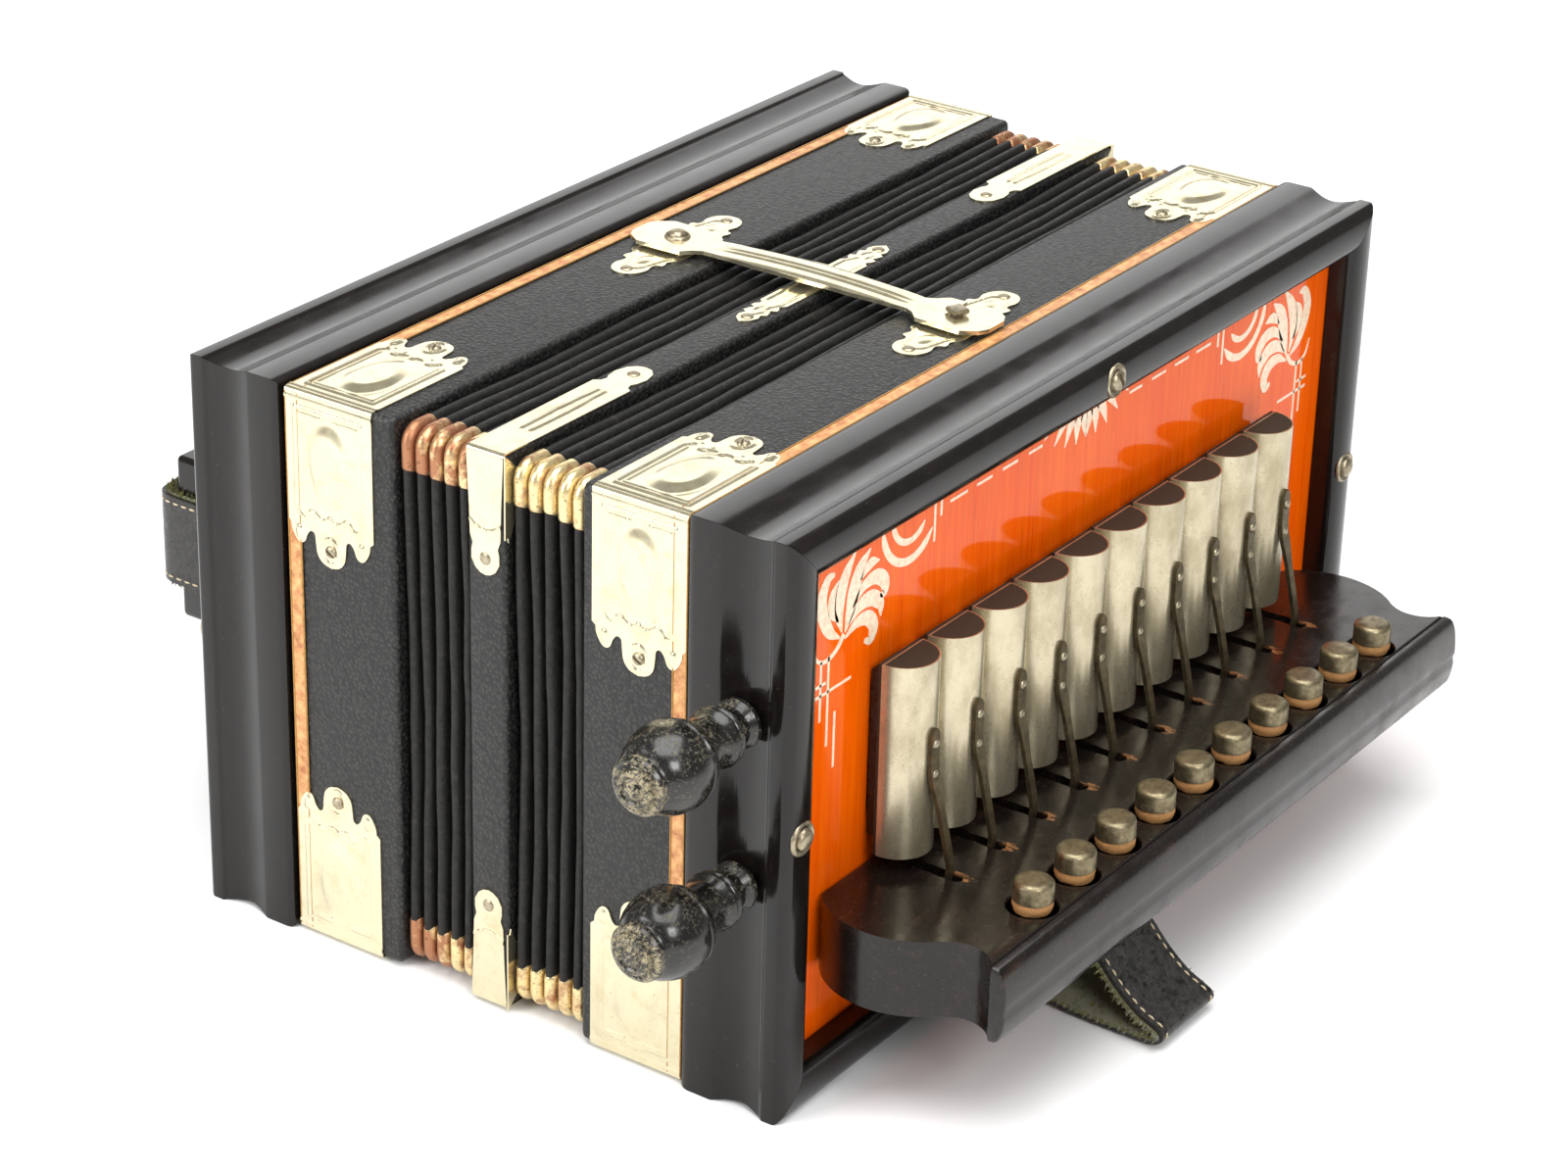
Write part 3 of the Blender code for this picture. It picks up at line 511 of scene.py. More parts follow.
class Drawing:
    """A mesh in millimetres, added to piece by piece."""

    def __init__(self):
        self.bm = bmesh.new()

    def skin(self, loops, around=False, closed=True, caps=True):
        """Joins loops of points by faces.

        closed joins each loop's ends, around joins the last loop to the first.
        """
        rows = [[self.bm.verts.new(p) for p in loop] for loop in loops]
        if around:
            rows.append(rows[0])
        for a, b in zip(rows, rows[1:]):
            count = len(a)
            for i in range(count if closed else count - 1):
                j = (i + 1) % count
                self.bm.faces.new((a[i], a[j], b[j], b[i]))
        if caps and not around and closed:
            self.bm.faces.new(rows[0][::-1])
            self.bm.faces.new(rows[-1])
        return self

    def lathe(self, profile, centre, axis, steps=32, hollow=False):
        """Turns (distance along the axis, radius) pairs round the axis.

        hollow joins the last pair to the first.
        """
        along = Vector(axis).normalized()
        side = along.orthogonal().normalized()
        up = along.cross(side)
        turns = [math.tau * i / steps for i in range(steps)]
        loops = []
        for distance, radius in profile:
            middle = Vector(centre) + along * distance
            loops.append([middle + turned(a, side, up) * max(radius, 0.01) for a in turns])
        return self.skin(loops, around=hollow)

    def prism(self, outline, axis, low, high, bevel=0.0, segments=2):
        """An outline in the other two axes, in x, y, z order, extruded along axis.

        bevel rounds the rims of both ends.
        """
        order = {"x": (2, 0, 1), "y": (0, 2, 1), "z": (0, 1, 2)}[axis]
        start = len(self.bm.verts)
        self.skin([[tuple((*p, level)[i] for i in order) for p in outline] for level in (low, high)])
        if bevel:
            index = "xyz".index(axis)
            self.round_edges(start, bevel, segments, lambda a, b: abs(a[index] - b[index]) < 1e-6)
        return self

    def slab(self, low, high, bevel=0.3, segments=2):
        """A box with rounded edges."""
        start = len(self.bm.verts)
        (x0, y0, z0), (x1, y1, z1) = low, high
        square = [(x0, y0), (x1, y0), (x1, y1), (x0, y1)]
        self.skin([[(x, y, z) for x, y in square] for z in (z0, z1)])
        self.round_edges(start, bevel, segments)
        return self

    def round_edges(self, start, bevel, segments, chosen=lambda a, b: True):
        """Rounds the chosen edges of what was drawn since the vertex start."""
        self.bm.verts.ensure_lookup_table()
        mine = set(self.bm.verts[start:])
        edges = [e for e in self.bm.edges if e.verts[0] in mine and chosen(*(v.co for v in e.verts))]
        bmesh.ops.bevel(self.bm, geom=edges, offset=bevel, segments=segments, profile=0.5, affect="EDGES")

    def tube(self, path, radii, sides=8):
        """A round tube along a path, with a radius for each of its points."""
        points = [Vector(p) for p in path]
        turns = [math.tau * k / sides for k in range(sides)]
        loops = []
        side = None
        for point, run, size in zip(points, directions(points), radii):
            side = (side - run * side.dot(run)).normalized() if side else run.orthogonal().normalized()
            up = run.cross(side)
            loops.append([point + turned(a, side, up) * size for a in turns])
        return self.skin(loops)

    def strip(self, path, place, half, thick, crown=0.0, across=6):
        """A flat band along path, a list of 2-D points.

        place(point, offset) puts a point in space, and half is half the band's width.
        """
        points = [Vector(p) for p in path]
        shares = [2 * k / across - 1 for k in range(across + 1)]
        loops = []
        for point, run in zip(points, directions(points)):
            normal = Vector((-run.y, run.x))
            upper = [(point + normal * (thick / 2 + crown * (1 - s * s)), s * half) for s in shares]
            lower = [(point - normal * thick / 2, s * half) for s in reversed(shares)]
            loops.append([place(p, offset) for p, offset in upper + lower])
        return self.skin(loops)

    def sheet(self, outline, spacing, place, relief=None, thick=0.5):
        """Sheet metal cut to a 2-D outline.

        relief(points) lifts its surface, and place(point, lift) puts a point in space.
        """
        edge = [Vector(p) for p in resampled(outline, spacing)]
        xs, ys = [p.x for p in edge], [p.y for p in edge]
        grid = np.array([
            (x + (row % 2) * spacing / 2, y)
            for row, y in enumerate(np.arange(min(ys), max(ys), spacing * 0.87))
            for x in np.arange(min(xs), max(xs), spacing)
        ])
        inside = grid[clear_inside(grid, np.array([tuple(p) for p in edge]), spacing * 0.55)]
        points = edge + [Vector(p) for p in inside]
        rim = list(range(len(edge)))
        found = delaunay_2d_cdt(points, list(zip(rim, rim[1:] + rim[:1])), [rim], 1, 1e-5)
        flat = np.array([tuple(p) for p in found[0]])
        lift = relief(flat) if relief else np.zeros(len(flat))
        top = [self.bm.verts.new(place(p, h)) for p, h in zip(flat, lift)]
        under = [self.bm.verts.new(place(p, h - thick)) for p, h in zip(flat, lift)]
        border = {}
        for face in found[2]:
            self.bm.faces.new([top[i] for i in face])
            self.bm.faces.new([under[i] for i in reversed(face)])
            for i, j in zip(face, face[1:] + face[:1]):
                if (j, i) in border:
                    del border[j, i]
                else:
                    border[i, j] = True
        for i, j in border:
            self.bm.faces.new((top[j], top[i], under[i], under[j]))
        return self

    def place(self, matrix):
        self.bm.transform(matrix)
        return self


def resampled(outline, spacing):
    """The closed outline with its long sides divided."""
    made = []
    for a, b in zip(outline, [*outline[1:], outline[0]]):
        steps = max(1, round(math.dist(a, b) / spacing))
        made += [tuple(np.array(a) + (np.array(b) - np.array(a)) * k / steps) for k in range(steps)]
    return made


def resampled_ring(loop, spacing):
    """The closed 3-D loop with its long sides divided."""
    made = []
    for a, b in zip(loop, [*loop[1:], loop[0]]):
        steps = max(1, round(math.dist(a, b) / spacing))
        made += [Vector(a).lerp(Vector(b), k / steps) for k in range(steps)]
    return made


def distance_to(points, line):
    """How far each 2-D point is from a polyline."""
    best = np.full(len(points), 1e9)
    for a, b in zip(line, line[1:]):
        start, run = np.array(a, float), np.array(b, float) - np.array(a, float)
        share = np.clip((points - start) @ run / max(run @ run, 1e-9), 0, 1)
        best = np.minimum(best, np.linalg.norm(points - start - share[:, None] * run, axis=1))
    return best


def clear_inside(points, outline, margin):
    """Which points lie inside the outline and at least margin from it."""
    inside = np.zeros(len(points), bool)
    for (x0, y0), (x1, y1) in zip(outline, np.roll(outline, -1, 0)):
        if y0 == y1:
            continue
        crosses = (points[:, 1] < y0) != (points[:, 1] < y1)
        at = x0 + (points[:, 1] - y0) * (x1 - x0) / (y1 - y0)
        inside ^= crosses & (points[:, 0] < at)
    return inside & (distance_to(points, [*outline, outline[0]]) > margin)


def bead(points, line, width, height):
    """A rounded ridge along a line, as a relief."""
    return height * np.clip(1 - (distance_to(points, line) / (width / 2)) ** 2, 0, 1)


def mesh_of(name, drawing):
    """The drawing's mesh in the row frame, with its faces turned outwards."""
    bmesh.ops.recalc_face_normals(drawing.bm, faces=drawing.bm.faces)
    drawing.bm.transform(Matrix.Translation(ORIGIN) @ Matrix.Scale(MM, 4))
    mesh = bpy.data.meshes.new(name)
    drawing.bm.to_mesh(mesh)
    drawing.bm.free()
    return mesh


def add_object(name, data):
    obj = bpy.data.objects.new(name, data)
    bpy.context.scene.collection.objects.link(obj)
    return obj


def make(name, drawing, look, body=None, between=None, smooth=35, replaces=()):
    """Turns a drawing into a piece that rides on body, or, where between is given, one left in the row frame
    on no body; what between holds is not used.
    """
    mesh = mesh_of(name, drawing)
    mesh.materials.append(LOOKS[look])
    mesh.shade_smooth()
    mesh.set_sharp_from_angle(angle=math.radians(smooth))
    obj = add_object(name, mesh)
    if between:
        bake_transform(obj)
    else:
        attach(obj, body)
    if replaces:
        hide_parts(*replaces)
    return obj


def cut(obj, cutter):
    """Cuts the drawing out of a piece, for good."""
    tool = add_object("cutter", mesh_of("cutter", cutter))
    modifier = obj.modifiers.new("cut", "BOOLEAN")
    modifier.solver = "EXACT"
    modifier.object = tool
    bpy.context.view_layer.update()
    made = bpy.data.meshes.new_from_object(obj.evaluated_get(bpy.context.evaluated_depsgraph_get()))
    obj.modifiers.clear()
    made.materials.clear()
    made.materials.append(obj.data.materials[0])
    made.set_sharp_from_angle(angle=math.radians(30))
    obj.data = made
    bpy.data.objects.remove(tool)


# ---------------------------------------------------------------- camera, floor and lights


def make_camera():
    """The view from the photograph's side: the treble end, from the left and above."""
    place = ORIGIN + Vector((BOARD_X - 824.33, -466.12, 548.29)) * MM
    target = ORIGIN + Vector((BOARD_X - 142.04, 0, 147.38)) * MM
    roll, focal_length, sensor_width = 0.0271, 92.38, 36.0
    forward = (target - place).normalized()
    level = forward.cross(Vector((0, 0, 1))).normalized()
    up = level.cross(forward)
    right = level * math.cos(roll) + up * math.sin(roll)
    above = up * math.cos(roll) - level * math.sin(roll)
    data = bpy.data.cameras.new("camera")
    data.lens = focal_length
    data.sensor_width = sensor_width
    camera = add_object("camera", data)
    camera.matrix_world = Matrix.Translation(place) @ Matrix((right, above, -forward)).transposed().to_4x4()
    bpy.context.scene.camera = camera


def make_floor():
    bm = bmesh.new()
    bmesh.ops.create_grid(bm, x_segments=2, y_segments=2, size=6.0)
    mesh = bpy.data.meshes.new("floor")
    bm.to_mesh(mesh)
    bm.free()
    floor = add_object("floor", mesh)
    floor.location = (0, 0, ORIGIN.z)
    paper = bpy.data.materials.new("floor")
    paper.use_nodes = True
    shader = paper.node_tree.nodes["Principled BSDF"]
    shader.inputs["Base Color"].default_value = (0.93, 0.93, 0.93, 1)
    shader.inputs["Roughness"].default_value = 0.8
    mesh.materials.append(paper)


def area_light(name, place, size, power):
    """A soft rectangular light that faces the instrument."""
    aim = Vector((0, 0, 0.08))
    data = bpy.data.lights.new(name, "AREA")
    data.shape = "RECTANGLE"
    data.size, data.size_y = size
    data.energy = power
    light = add_object(name, data)
    light.location = place
    light.rotation_euler = (aim - Vector(place)).to_track_quat("-Z", "Y").to_euler()


def make_light():
    """A white room, with soft lights above, behind on the right, on the left and in front."""
    world = bpy.data.worlds.new("world")
    bpy.context.scene.world = world
    world.use_nodes = True
    background = world.node_tree.nodes["Background"]
    background.inputs["Color"].default_value = (1, 0.99, 0.97, 1)
    background.inputs["Strength"].default_value = 0.3
    area_light("top_softbox", (-0.2, -0.15, 1.5), (1.3, 1.3), 27)
    area_light("back_softbox", (1.25, 0.86, 0.72), (1.6, 0.8), 6.5)
    area_light("left_softbox", (-0.95, 0.5, 0.6), (0.6, 0.6), 9)
    area_light("front_softbox", (-0.7, -1.1, 0.9), (0.5, 0.5), 9)
    bpy.context.scene.view_settings.view_transform = "Standard"


# ---------------------------------------------------------------- casings


def moulding_section():
    """(inset from the outside, y) from the rim's inner edge over face, lip, cove and flat to the back."""
    inner = RIM_WIDTH
    face = [(inner, 6.0), (inner, 1.2), (inner - 0.15, 0.2), (inner - 0.7, -0.7), (inner - 1.7, -1.25)]
    face += [(10.1 - 8.9 * t, -RIM_BULGE * math.sin(math.pi * (0.2 + 0.68 * t)) ** 0.7) for t in
             (0.12, 0.26, 0.42, 0.6, 0.78, 0.9)]
    lip = [(0.75, -0.45), (0.3, 0.1), (0.06, 0.55), (0.0, 1.1), (0.0, 3.8), (0.12, 4.3), (0.4, 4.6)]
    shares = [k / 14 for k in range(1, 15)]
    cove = [(0.4 * (1 - t) + 1.55 * math.sin(math.pi * t) ** 1.1, 4.6 + 15.0 * t) for t in shares]
    back = [(0.0, CASING_DEPTH - 2.4), (0.2, CASING_DEPTH - 1.2), (0.7, CASING_DEPTH - 0.35),
            (1.6, CASING_DEPTH)]
    inside = [(CASING_WALL, CASING_DEPTH), (CASING_WALL, 6.0)]
    return [*face, *lip, *cove, *back, *inside]


def corner_loop(inset, y, radius, steps):
    """A rounded rectangle at this inset from the casing's outside, anticlockwise from the lower right."""
    half_x, half_z = HALF_LENGTH - inset - radius, MIDDLE_Z - inset - radius
    loop = []
    for x_sign, z_sign, first in ((1, -1, -90), (1, 1, 0), (-1, 1, 90), (-1, -1, 180)):
        bend = arc((x_sign * half_x, z_sign * half_z), radius, first, first + 90, steps)
        loop += [(x, y, MIDDLE_Z + z) for x, z in bend]
    return loop


def make_moulding(side, section):
    """Four mitred bars with a hairline joint at each corner."""
    drawing = Drawing()
    for along, sign in (("x", -1), ("x", 1), ("z", -1), ("z", 1)):
        loops = []
        for end in (-1, 1):
            loop = []
            for inset, y in section:
                x_out, z_out = HALF_LENGTH - inset, MIDDLE_Z - inset
                if along == "x":
                    loop.append((end * (x_out - MITRE_GAP), y, MIDDLE_Z + sign * z_out))
                else:
                    loop.append((sign * x_out, y, MIDDLE_Z + end * (z_out - MITRE_GAP)))
            loops.append(loop)
        drawing.skin(loops)
    node = f"{side}_moulding"
    return make(f"{node}_bars", drawing, "casing_lacquer", f"{side}_casing", smooth=30, replaces=(node,))


def rounded_ring(section, steps=4):
    """Sweeps a closed section of (inset, y, corner radius) round the casing's outline."""
    return Drawing().skin([corner_loop(*place, steps) for place in section], around=True)


def make_covered_frame(name, body, node, low_round, high_round, high=None):
    """A wooden frame covered in leathercloth, its outer edges rounded by low_round and high_round."""
    first, last = BOX[node][0].y, high or BOX[node][1].y
    out, inner = FRAME_INSET, FRAME_INSET + FRAME_WALL

    def edge(y, radius, sign):
        steps = 5
        turns = [math.radians(90 * k / steps) for k in range(steps + 1)]
        return [(out + radius * (1 - math.cos(a)), y + sign * radius * (1 - math.sin(a)), 1.4) for a in turns]

    section = edge(first, low_round, 1)[::-1] + edge(last, high_round, -1)
    section += [(inner, last, 0.5), (inner, first, 0.5)]
    make(name, rounded_ring(section), "leathercloth", body, replaces=(node,))


def make_trim(name, body, first, last):
    """The tan strip between moulding and frame, with a raised gilt cord along both edges."""
    outside, inside, corner = FRAME_INSET - 0.3, FRAME_INSET + 0.3, 1.5
    flat = [(outside, first, corner), (outside, last, corner),
            (inside, last, corner), (inside, first, corner)]
    make(name, rounded_ring(flat), "trim_strip", body)
    turns = [math.radians(60 * k) for k in range(6)]
    for label, y in (("front", first), ("back", last)):
        cord = [(outside - 0.24 * math.sin(a), y + 0.3 * math.cos(a), corner) for a in turns]
        make(f"{name}_{label}_cord", rounded_ring(cord), "trim_border", body)


def slotted_screw(name, body, centre, axis, radius, turn, washer=0.0, replaces=()):
    """A domed head with a slot, on a cup washer of radius washer where that is given."""
    if washer:
        inner = radius + 0.15
        cup = [(-0.3, washer), (0.05, washer), (0.5, washer * 0.93), (0.65, washer * 0.85),
               (0.4, washer * 0.78), (0.15, inner), (-0.3, inner)]
        ring = Drawing().lathe(cup, centre, axis, 32, hollow=True)
        make(f"{name}_washer", ring, "plated_steel", body, smooth=40)
    arch = [(0.25 * radius + 0.5 * radius * math.sin(math.radians(a)), radius * math.cos(math.radians(a)))
            for a in (0, 20, 40, 60, 75, 88)]
    drawing = Drawing().lathe([(-0.3, radius), *arch], centre, axis, 28)
    screw = make(name, drawing, "plated_steel", body, smooth=40, replaces=replaces)
    along = Vector(axis).normalized()
    half, reach, floor, above = (share * radius for share in (0.22, 1.3, 0.3, 2))
    slot = Drawing().slab((-half, -reach, floor), (half, reach, above), 0.01, 1)
    slot.place(Matrix.Translation(Vector(centre)) @ along.to_track_quat("Z", "Y").to_matrix().to_4x4()
               @ Matrix.Rotation(math.radians(turn), 4, "Z"))
    cut(screw, slot)


def knob_centre(level):
    """Where a stop knob's shaft enters the casing."""
    _, y, z = centre_of(f"stop_knob_{level}")
    return (-HALF_LENGTH, y, z)


def make_rim_screws():
    """Screws on cup washers in the middle of each side of both rims, their slots all turned differently."""
    inset, radius, washer, sunk = 6.2, 2.9, 4.6, 0.3
    spots = {
        "top": (0, HEIGHT - inset), "bottom": (0, inset),
        "left": (inset - HALF_LENGTH, MIDDLE_Z), "right": (HALF_LENGTH - inset, MIDDLE_Z),
    }
    for k, (label, (x, z)) in enumerate(spots.items()):
        for side, y, out, turn in (
            ("treble", -RIM_BULGE + sunk, (0, -1, 0), 40 * k + 25),
            ("bass", DEPTH + RIM_BULGE - sunk, (0, 1, 0), 55 * k + 10),
        ):
            name = f"{side}_rim_screw_{label}"
            slotted_screw(name, f"{side}_casing", (x, y, z), out, radius, turn, washer)


def make_casings():
    section = moulding_section()
    treble = make_moulding("treble", section)
    shaft_hole, outside, depth = 3.4, 1.0, 11.5
    for level in ("upper", "lower"):
        x, y, z = knob_centre(level)
        bore = [(0, shaft_hole), (depth, shaft_hole)]
        cut(treble, Drawing().lathe(bore, (x - outside, y, z), (1, 0, 0), 28))
    make_moulding("bass", [(inset, DEPTH - y) for inset, y in section])
    sharp, round_edge = 0.3, 1.6
    bass_trim_start, bass_trim_end = 149.4, 153.3
    make_covered_frame("treble_frame_cloth", "treble_casing", "treble_bellows_frame", sharp, round_edge)
    make_covered_frame("middle_frame_cloth", "middle_frame", "middle_frame", 1.5, 1.5)
    make_covered_frame("bass_frame_cloth", "bass_casing", "bass_bellows_frame", round_edge, sharp,
                       bass_trim_end + 0.3)
    make_trim("treble_trim", "treble_casing", CASING_DEPTH + 0.5, CASING_DEPTH + 4.4)
    make_trim("bass_trim", "bass_casing", bass_trim_start, bass_trim_end)
    make_rim_screws()


# ---------------------------------------------------------------- bellows

FOLDS = 5
CREST_INSET, VALLEY_DEPTH = 2.9, 10.0
SAG_LONG, SAG_SHORT, FLARE = 0.9, 1.0, 45.0
CAP_CLEARANCE, CAP_COVER, CAP_FADE = 1.2, 13.3, 4.0


def crest_sag(x, z):
    """How much deeper the folds lie away from the corners, as the cloth is flared up into the caps."""
    run_x, run_z = HALF_LENGTH - abs(x), MIDDLE_Z - abs(z - MIDDLE_Z)
    on_long_side = run_z < run_x
    distance = max(run_x, run_z) - 12.0
    share = min(max(distance / FLARE, 0), 1)
    return (SAG_LONG if on_long_side else SAG_SHORT) * share * share * (3 - 2 * share)


def cap_clearance(x, z):
    """How much lower the cloth lies under a corner cap, so that the cap stands proud of the open fold."""
    run = max(HALF_LENGTH - abs(x), MIDDLE_Z - abs(z - MIDDLE_Z))
    return CAP_CLEARANCE * min(max((CAP_COVER - run) / CAP_FADE, 0), 1)


def make_bellows(name, first_body, last_body, node, seed):
    """Folded cloth: rounded crests, deep narrow valleys, each fold a little uneven."""
    first, last = BOX[node][0].y, BOX[node][1].y
    pitch = (last - first) / FOLDS
    flank = [(0.07, 0.0), (0.18, 0.02), (0.27, 0.075), (0.33, 0.16), (0.37, 0.3), (0.42, 0.6)]
    fold = [(-0.5, 1.0), *[(-place, depth) for place, depth in reversed(flank)], *flank]
    profile = [(first + pitch * (k + 0.5 + place), depth, k) for k in range(FOLDS) for place, depth in fold]
    profile.append((last, 1.0, FOLDS))
    profile = [(y, min(depth, 0.45) if y in (first, last) else depth, k) for y, depth, k in profile]
    ring = resampled_ring(corner_loop(CREST_INSET, 0.0, 6.4, 8), 4.0)
    reach_x, reach_z = HALF_LENGTH - CREST_INSET, MIDDLE_Z - CREST_INSET
    loops = []
    for y, depth, k in profile:
        loop = []
        for p in ring:
            wave = noise.noise(Vector((p.x * 0.022, p.z * 0.022 + seed, k * 3.7)))
            ripple = noise.noise(Vector((p.x * 0.11 + 9, p.z * 0.11, k * 5.1 + seed)))
            sway = noise.noise(Vector((p.x * 0.03, p.z * 0.03, k * 2.3 + seed + 5)))
            sag = crest_sag(p.x, p.z)
            inwards = sag + cap_clearance(p.x, p.z) + depth * VALLEY_DEPTH
            inwards += (0.7 * wave + 0.2 * ripple) * (0.25 + sag)
            loop.append((p.x * (1 - inwards / reach_x), y + pitch * 0.2 * (1 - depth) * sway * min(sag, 1),
                         MIDDLE_Z + (p.z - MIDDLE_Z) * (1 - inwards / reach_z)))
        loops.append(loop)
    inner = [corner_loop(CREST_INSET + VALLEY_DEPTH + SAG_LONG + 1.5, y, 0.5, 5) for y in (last, first)]
    drawing = Drawing()
    drawing.skin(loops, caps=False)
    drawing.skin(inner, caps=False)
    between = (first_body, last_body, first, last)
    make(name, drawing, "bellows_cloth", between=between, smooth=50, replaces=(node,))
    for k in range(FOLDS):
        make_corner_caps(f"{name}_caps_{k + 1}", between, k)


def make_corner_caps(name, between, k):
    """The four metal caps of one fold.

    The span worked out for them is long enough to give them one share all over, but make does not use it and
    leaves them in place.
    """
    first_body, last_body, first, last = between
    y = first + (last - first) / FOLDS * (k + 0.5)
    drawing = Drawing()
    half = (last - first) / FOLDS / 2 - 0.3
    turns = [math.radians(180 - 180 * step / 10) for step in range(11)]
    section = [(-half, 3.4), *[(half * math.cos(a), 2.2 * (1 - math.sin(a))) for a in turns], (half, 3.4)]
    bend = 5.2
    for x_sign in (-1, 1):
        for z_sign in (-1, 1):
            top_run = 6.0 + 1.5 * noise.noise(Vector((k * 1.3, x_sign, y)))
            side_run = 6.6 + 1.5 * noise.noise(Vector((k * 1.7, z_sign, y)))
            stations = [(top_run, 0, 90, 0.5), (top_run - 0.5, 0, 90, 0.0), (top_run - 1.2, 0, 90, -0.25)]
            stations += [(0, 0, 90 - 10 * s, -0.3) for s in range(10)]
            stations += [(0, side_run - 1.2, 0, -0.25), (0, side_run - 0.5, 0, 0.0), (0, side_run, 0, 0.5)]
            loops = []
            for along, down, angle, shrink in stations:
                turn = math.radians(angle)
                loop = []
                for across, depth in section:
                    out = bend - depth - shrink
                    x = HALF_LENGTH - CREST_INSET - bend + math.cos(turn) * out - along
                    z = MIDDLE_Z - CREST_INSET - bend + math.sin(turn) * out - down
                    loop.append((x_sign * x, y + across, MIDDLE_Z + z_sign * z))
                loops.append(loop)
            drawing.skin(loops)
    share = (y - first) / (last - first)
    reach = 10000.0
    start = y - share * reach
    make(name, drawing, "worn_gold", between=(first_body, last_body, start, start + reach), smooth=60)


# ---------------------------------------------------------------- sheet-metal fittings

PLATE_SPACING = 0.5
SHEET_INSET = FRAME_INSET - 0.45


def casing_corners():
    """The casing's long edges: their end, their level, and the signs of x and z there."""
    for end, x_sign in (("left", -1), ("right", 1)):
        for level, z_sign in (("bottom", -1), ("top", 1)):
            yield end, level, x_sign, z_sign


def doubled(half):
    """Half an outline that ends on the x axis, and its mirror image beyond it."""
    return half + [(x, -y) for x, y in reversed(half[:-1])]


def fold_over(corner_inset, x_sign, z_sign, y_middle, radius=1.0):
    """Places a strip round an outside corner.

    Its x runs from the upper or lower arm, where it is negative, to the side arm, and its y runs across.
    """
    quarter = radius * math.pi / 4

    def place(p, lift):
        run, across = p
        if abs(run) <= quarter:
            turn = math.pi / 4 - run / radius
            x = corner_inset + radius - (radius + lift) * math.cos(turn)
            z = corner_inset + radius - (radius + lift) * math.sin(turn)
        elif run > 0:
            x, z = corner_inset - lift, corner_inset + radius + run - quarter
        else:
            x, z = corner_inset + radius - run - quarter, corner_inset - lift
        return (x_sign * (HALF_LENGTH - x), y_middle + across, MIDDLE_Z + z_sign * (MIDDLE_Z - z))

    return place


def corner_plate_arm():
    """Half of one arm's outline, from the straight side round the side lobe to the middle of the end lobe."""
    shoulder = [(35.4, 14.0), (36.3, 12.9)]
    lobes = smooth_curve([(36.3, 12.9), (38.3, 12.6), (40.6, 11.3), (41.4, 9.9), (40.7, 8.5), (38.6, 7.6),
                          (37.3, 6.4), (37.9, 5.2), (40.2, 4.9), (43.2, 4.4), (45.2, 2.7), (46.0, 0)], 4)
    return shoulder + lobes[1:]


def two_arms(half_arm):
    """A closed outline from half an arm: both arms, both halves."""
    one = doubled(half_arm)
    return one + [(-run, -across) for run, across in one]


def corner_plate_relief(points):
    """Double beads round a field with an egg-shaped boss, an ogee end and a rimmed screw seat."""
    p = np.abs(points)
    lift = np.zeros(len(p))
    half, near, far = 10.9, 4.4, 31.5
    ogee = smooth_curve([(far, half), (33.6, 9.4), (34.0, 7.9), (32.2, 6.6), (31.8, 5.2), (33.0, 3.6),
                         (33.4, 1.8), (32.4, 0)], 4)
    for grow, height in ((0.0, 0.4), (-1.5, 0.28)):
        frame_line = [(near - grow, 0), (near - grow, half + grow), (far, half + grow)]
        lift = np.maximum(lift, bead(p, frame_line, 0.95, height))
    lift = np.maximum(lift, bead(p, [(2.1, 0), (2.1, 14)], 0.9, 0.3))
    lift = np.maximum(lift, bead(p, ogee, 1.0, 0.4))
    curl = arc((34.6, 6.1), 2.0, 60, 290, 12)
    lift = np.maximum(lift, bead(p, curl, 0.8, 0.3))
    seat = [(41.4 + 3.5 * math.cos(a), 2.5 * math.sin(a)) for a in np.linspace(0, math.pi, 17)]
    lift = np.maximum(lift, bead(p, seat, 1.0, 0.42))
    along = (p[:, 0] - 17.8) / np.where(p[:, 0] > 17.8, 12.2, 10.8)
    egg = np.sqrt(along ** 2 + (p[:, 1] / (6.7 - 0.8 * along)) ** 2)
    share = np.clip((1.12 - egg) / 0.5, 0, 1)
    lift += 0.9 * share * share * (3 - 2 * share)
    lift += 0.12 * np.clip(1 - np.abs(egg - 1.18) / 0.07, 0, 1)
    lift += 0.5 * np.clip(1 - (distance_to(p, [(37.6, 10.2), (39.4, 10.0)]) / 1.3) ** 2, 0, 1)
    return lift


def rivet(drawing, centre, axis, radius, height=0.6):
    """A low domed head."""
    profile = [(-0.3, radius), (0.12 * height, radius), *[
        (height * math.sin(math.radians(a)), radius * math.cos(math.radians(a))) for a in (25, 50, 70, 88)]]
    drawing.lathe(profile, centre, axis, 20)


def make_corner_plates():
    outline = two_arms(corner_plate_arm())
    seat_run = 41.4
    for side in ("treble", "bass"):
        for end, level, x_sign, z_sign in casing_corners():
            node, body = f"corner_plate_{side}_{end}_{level}", f"{side}_casing"
            place = fold_over(SHEET_INSET, x_sign, z_sign, centre_of(node)[1])
            plate = Drawing().sheet(outline, PLATE_SPACING, place, corner_plate_relief, 0.4)
            make(f"{node}_sheet", plate, "nickel_plate", body, smooth=75, replaces=(node,))
            for arm, run, extra in (("side", seat_run, 15), ("top", -seat_run, 70)):
                centre = Vector(place((run, 0.0), -0.35))
                axis = (Vector(place((run, 0.0), 1.0)) - Vector(place((run, 0.0), 0.0))).normalized()
                turn = 40 * (x_sign + 2 * z_sign) + extra
                slotted_screw(f"{node}_{arm}_screw", body, centre, axis, 1.7, turn)


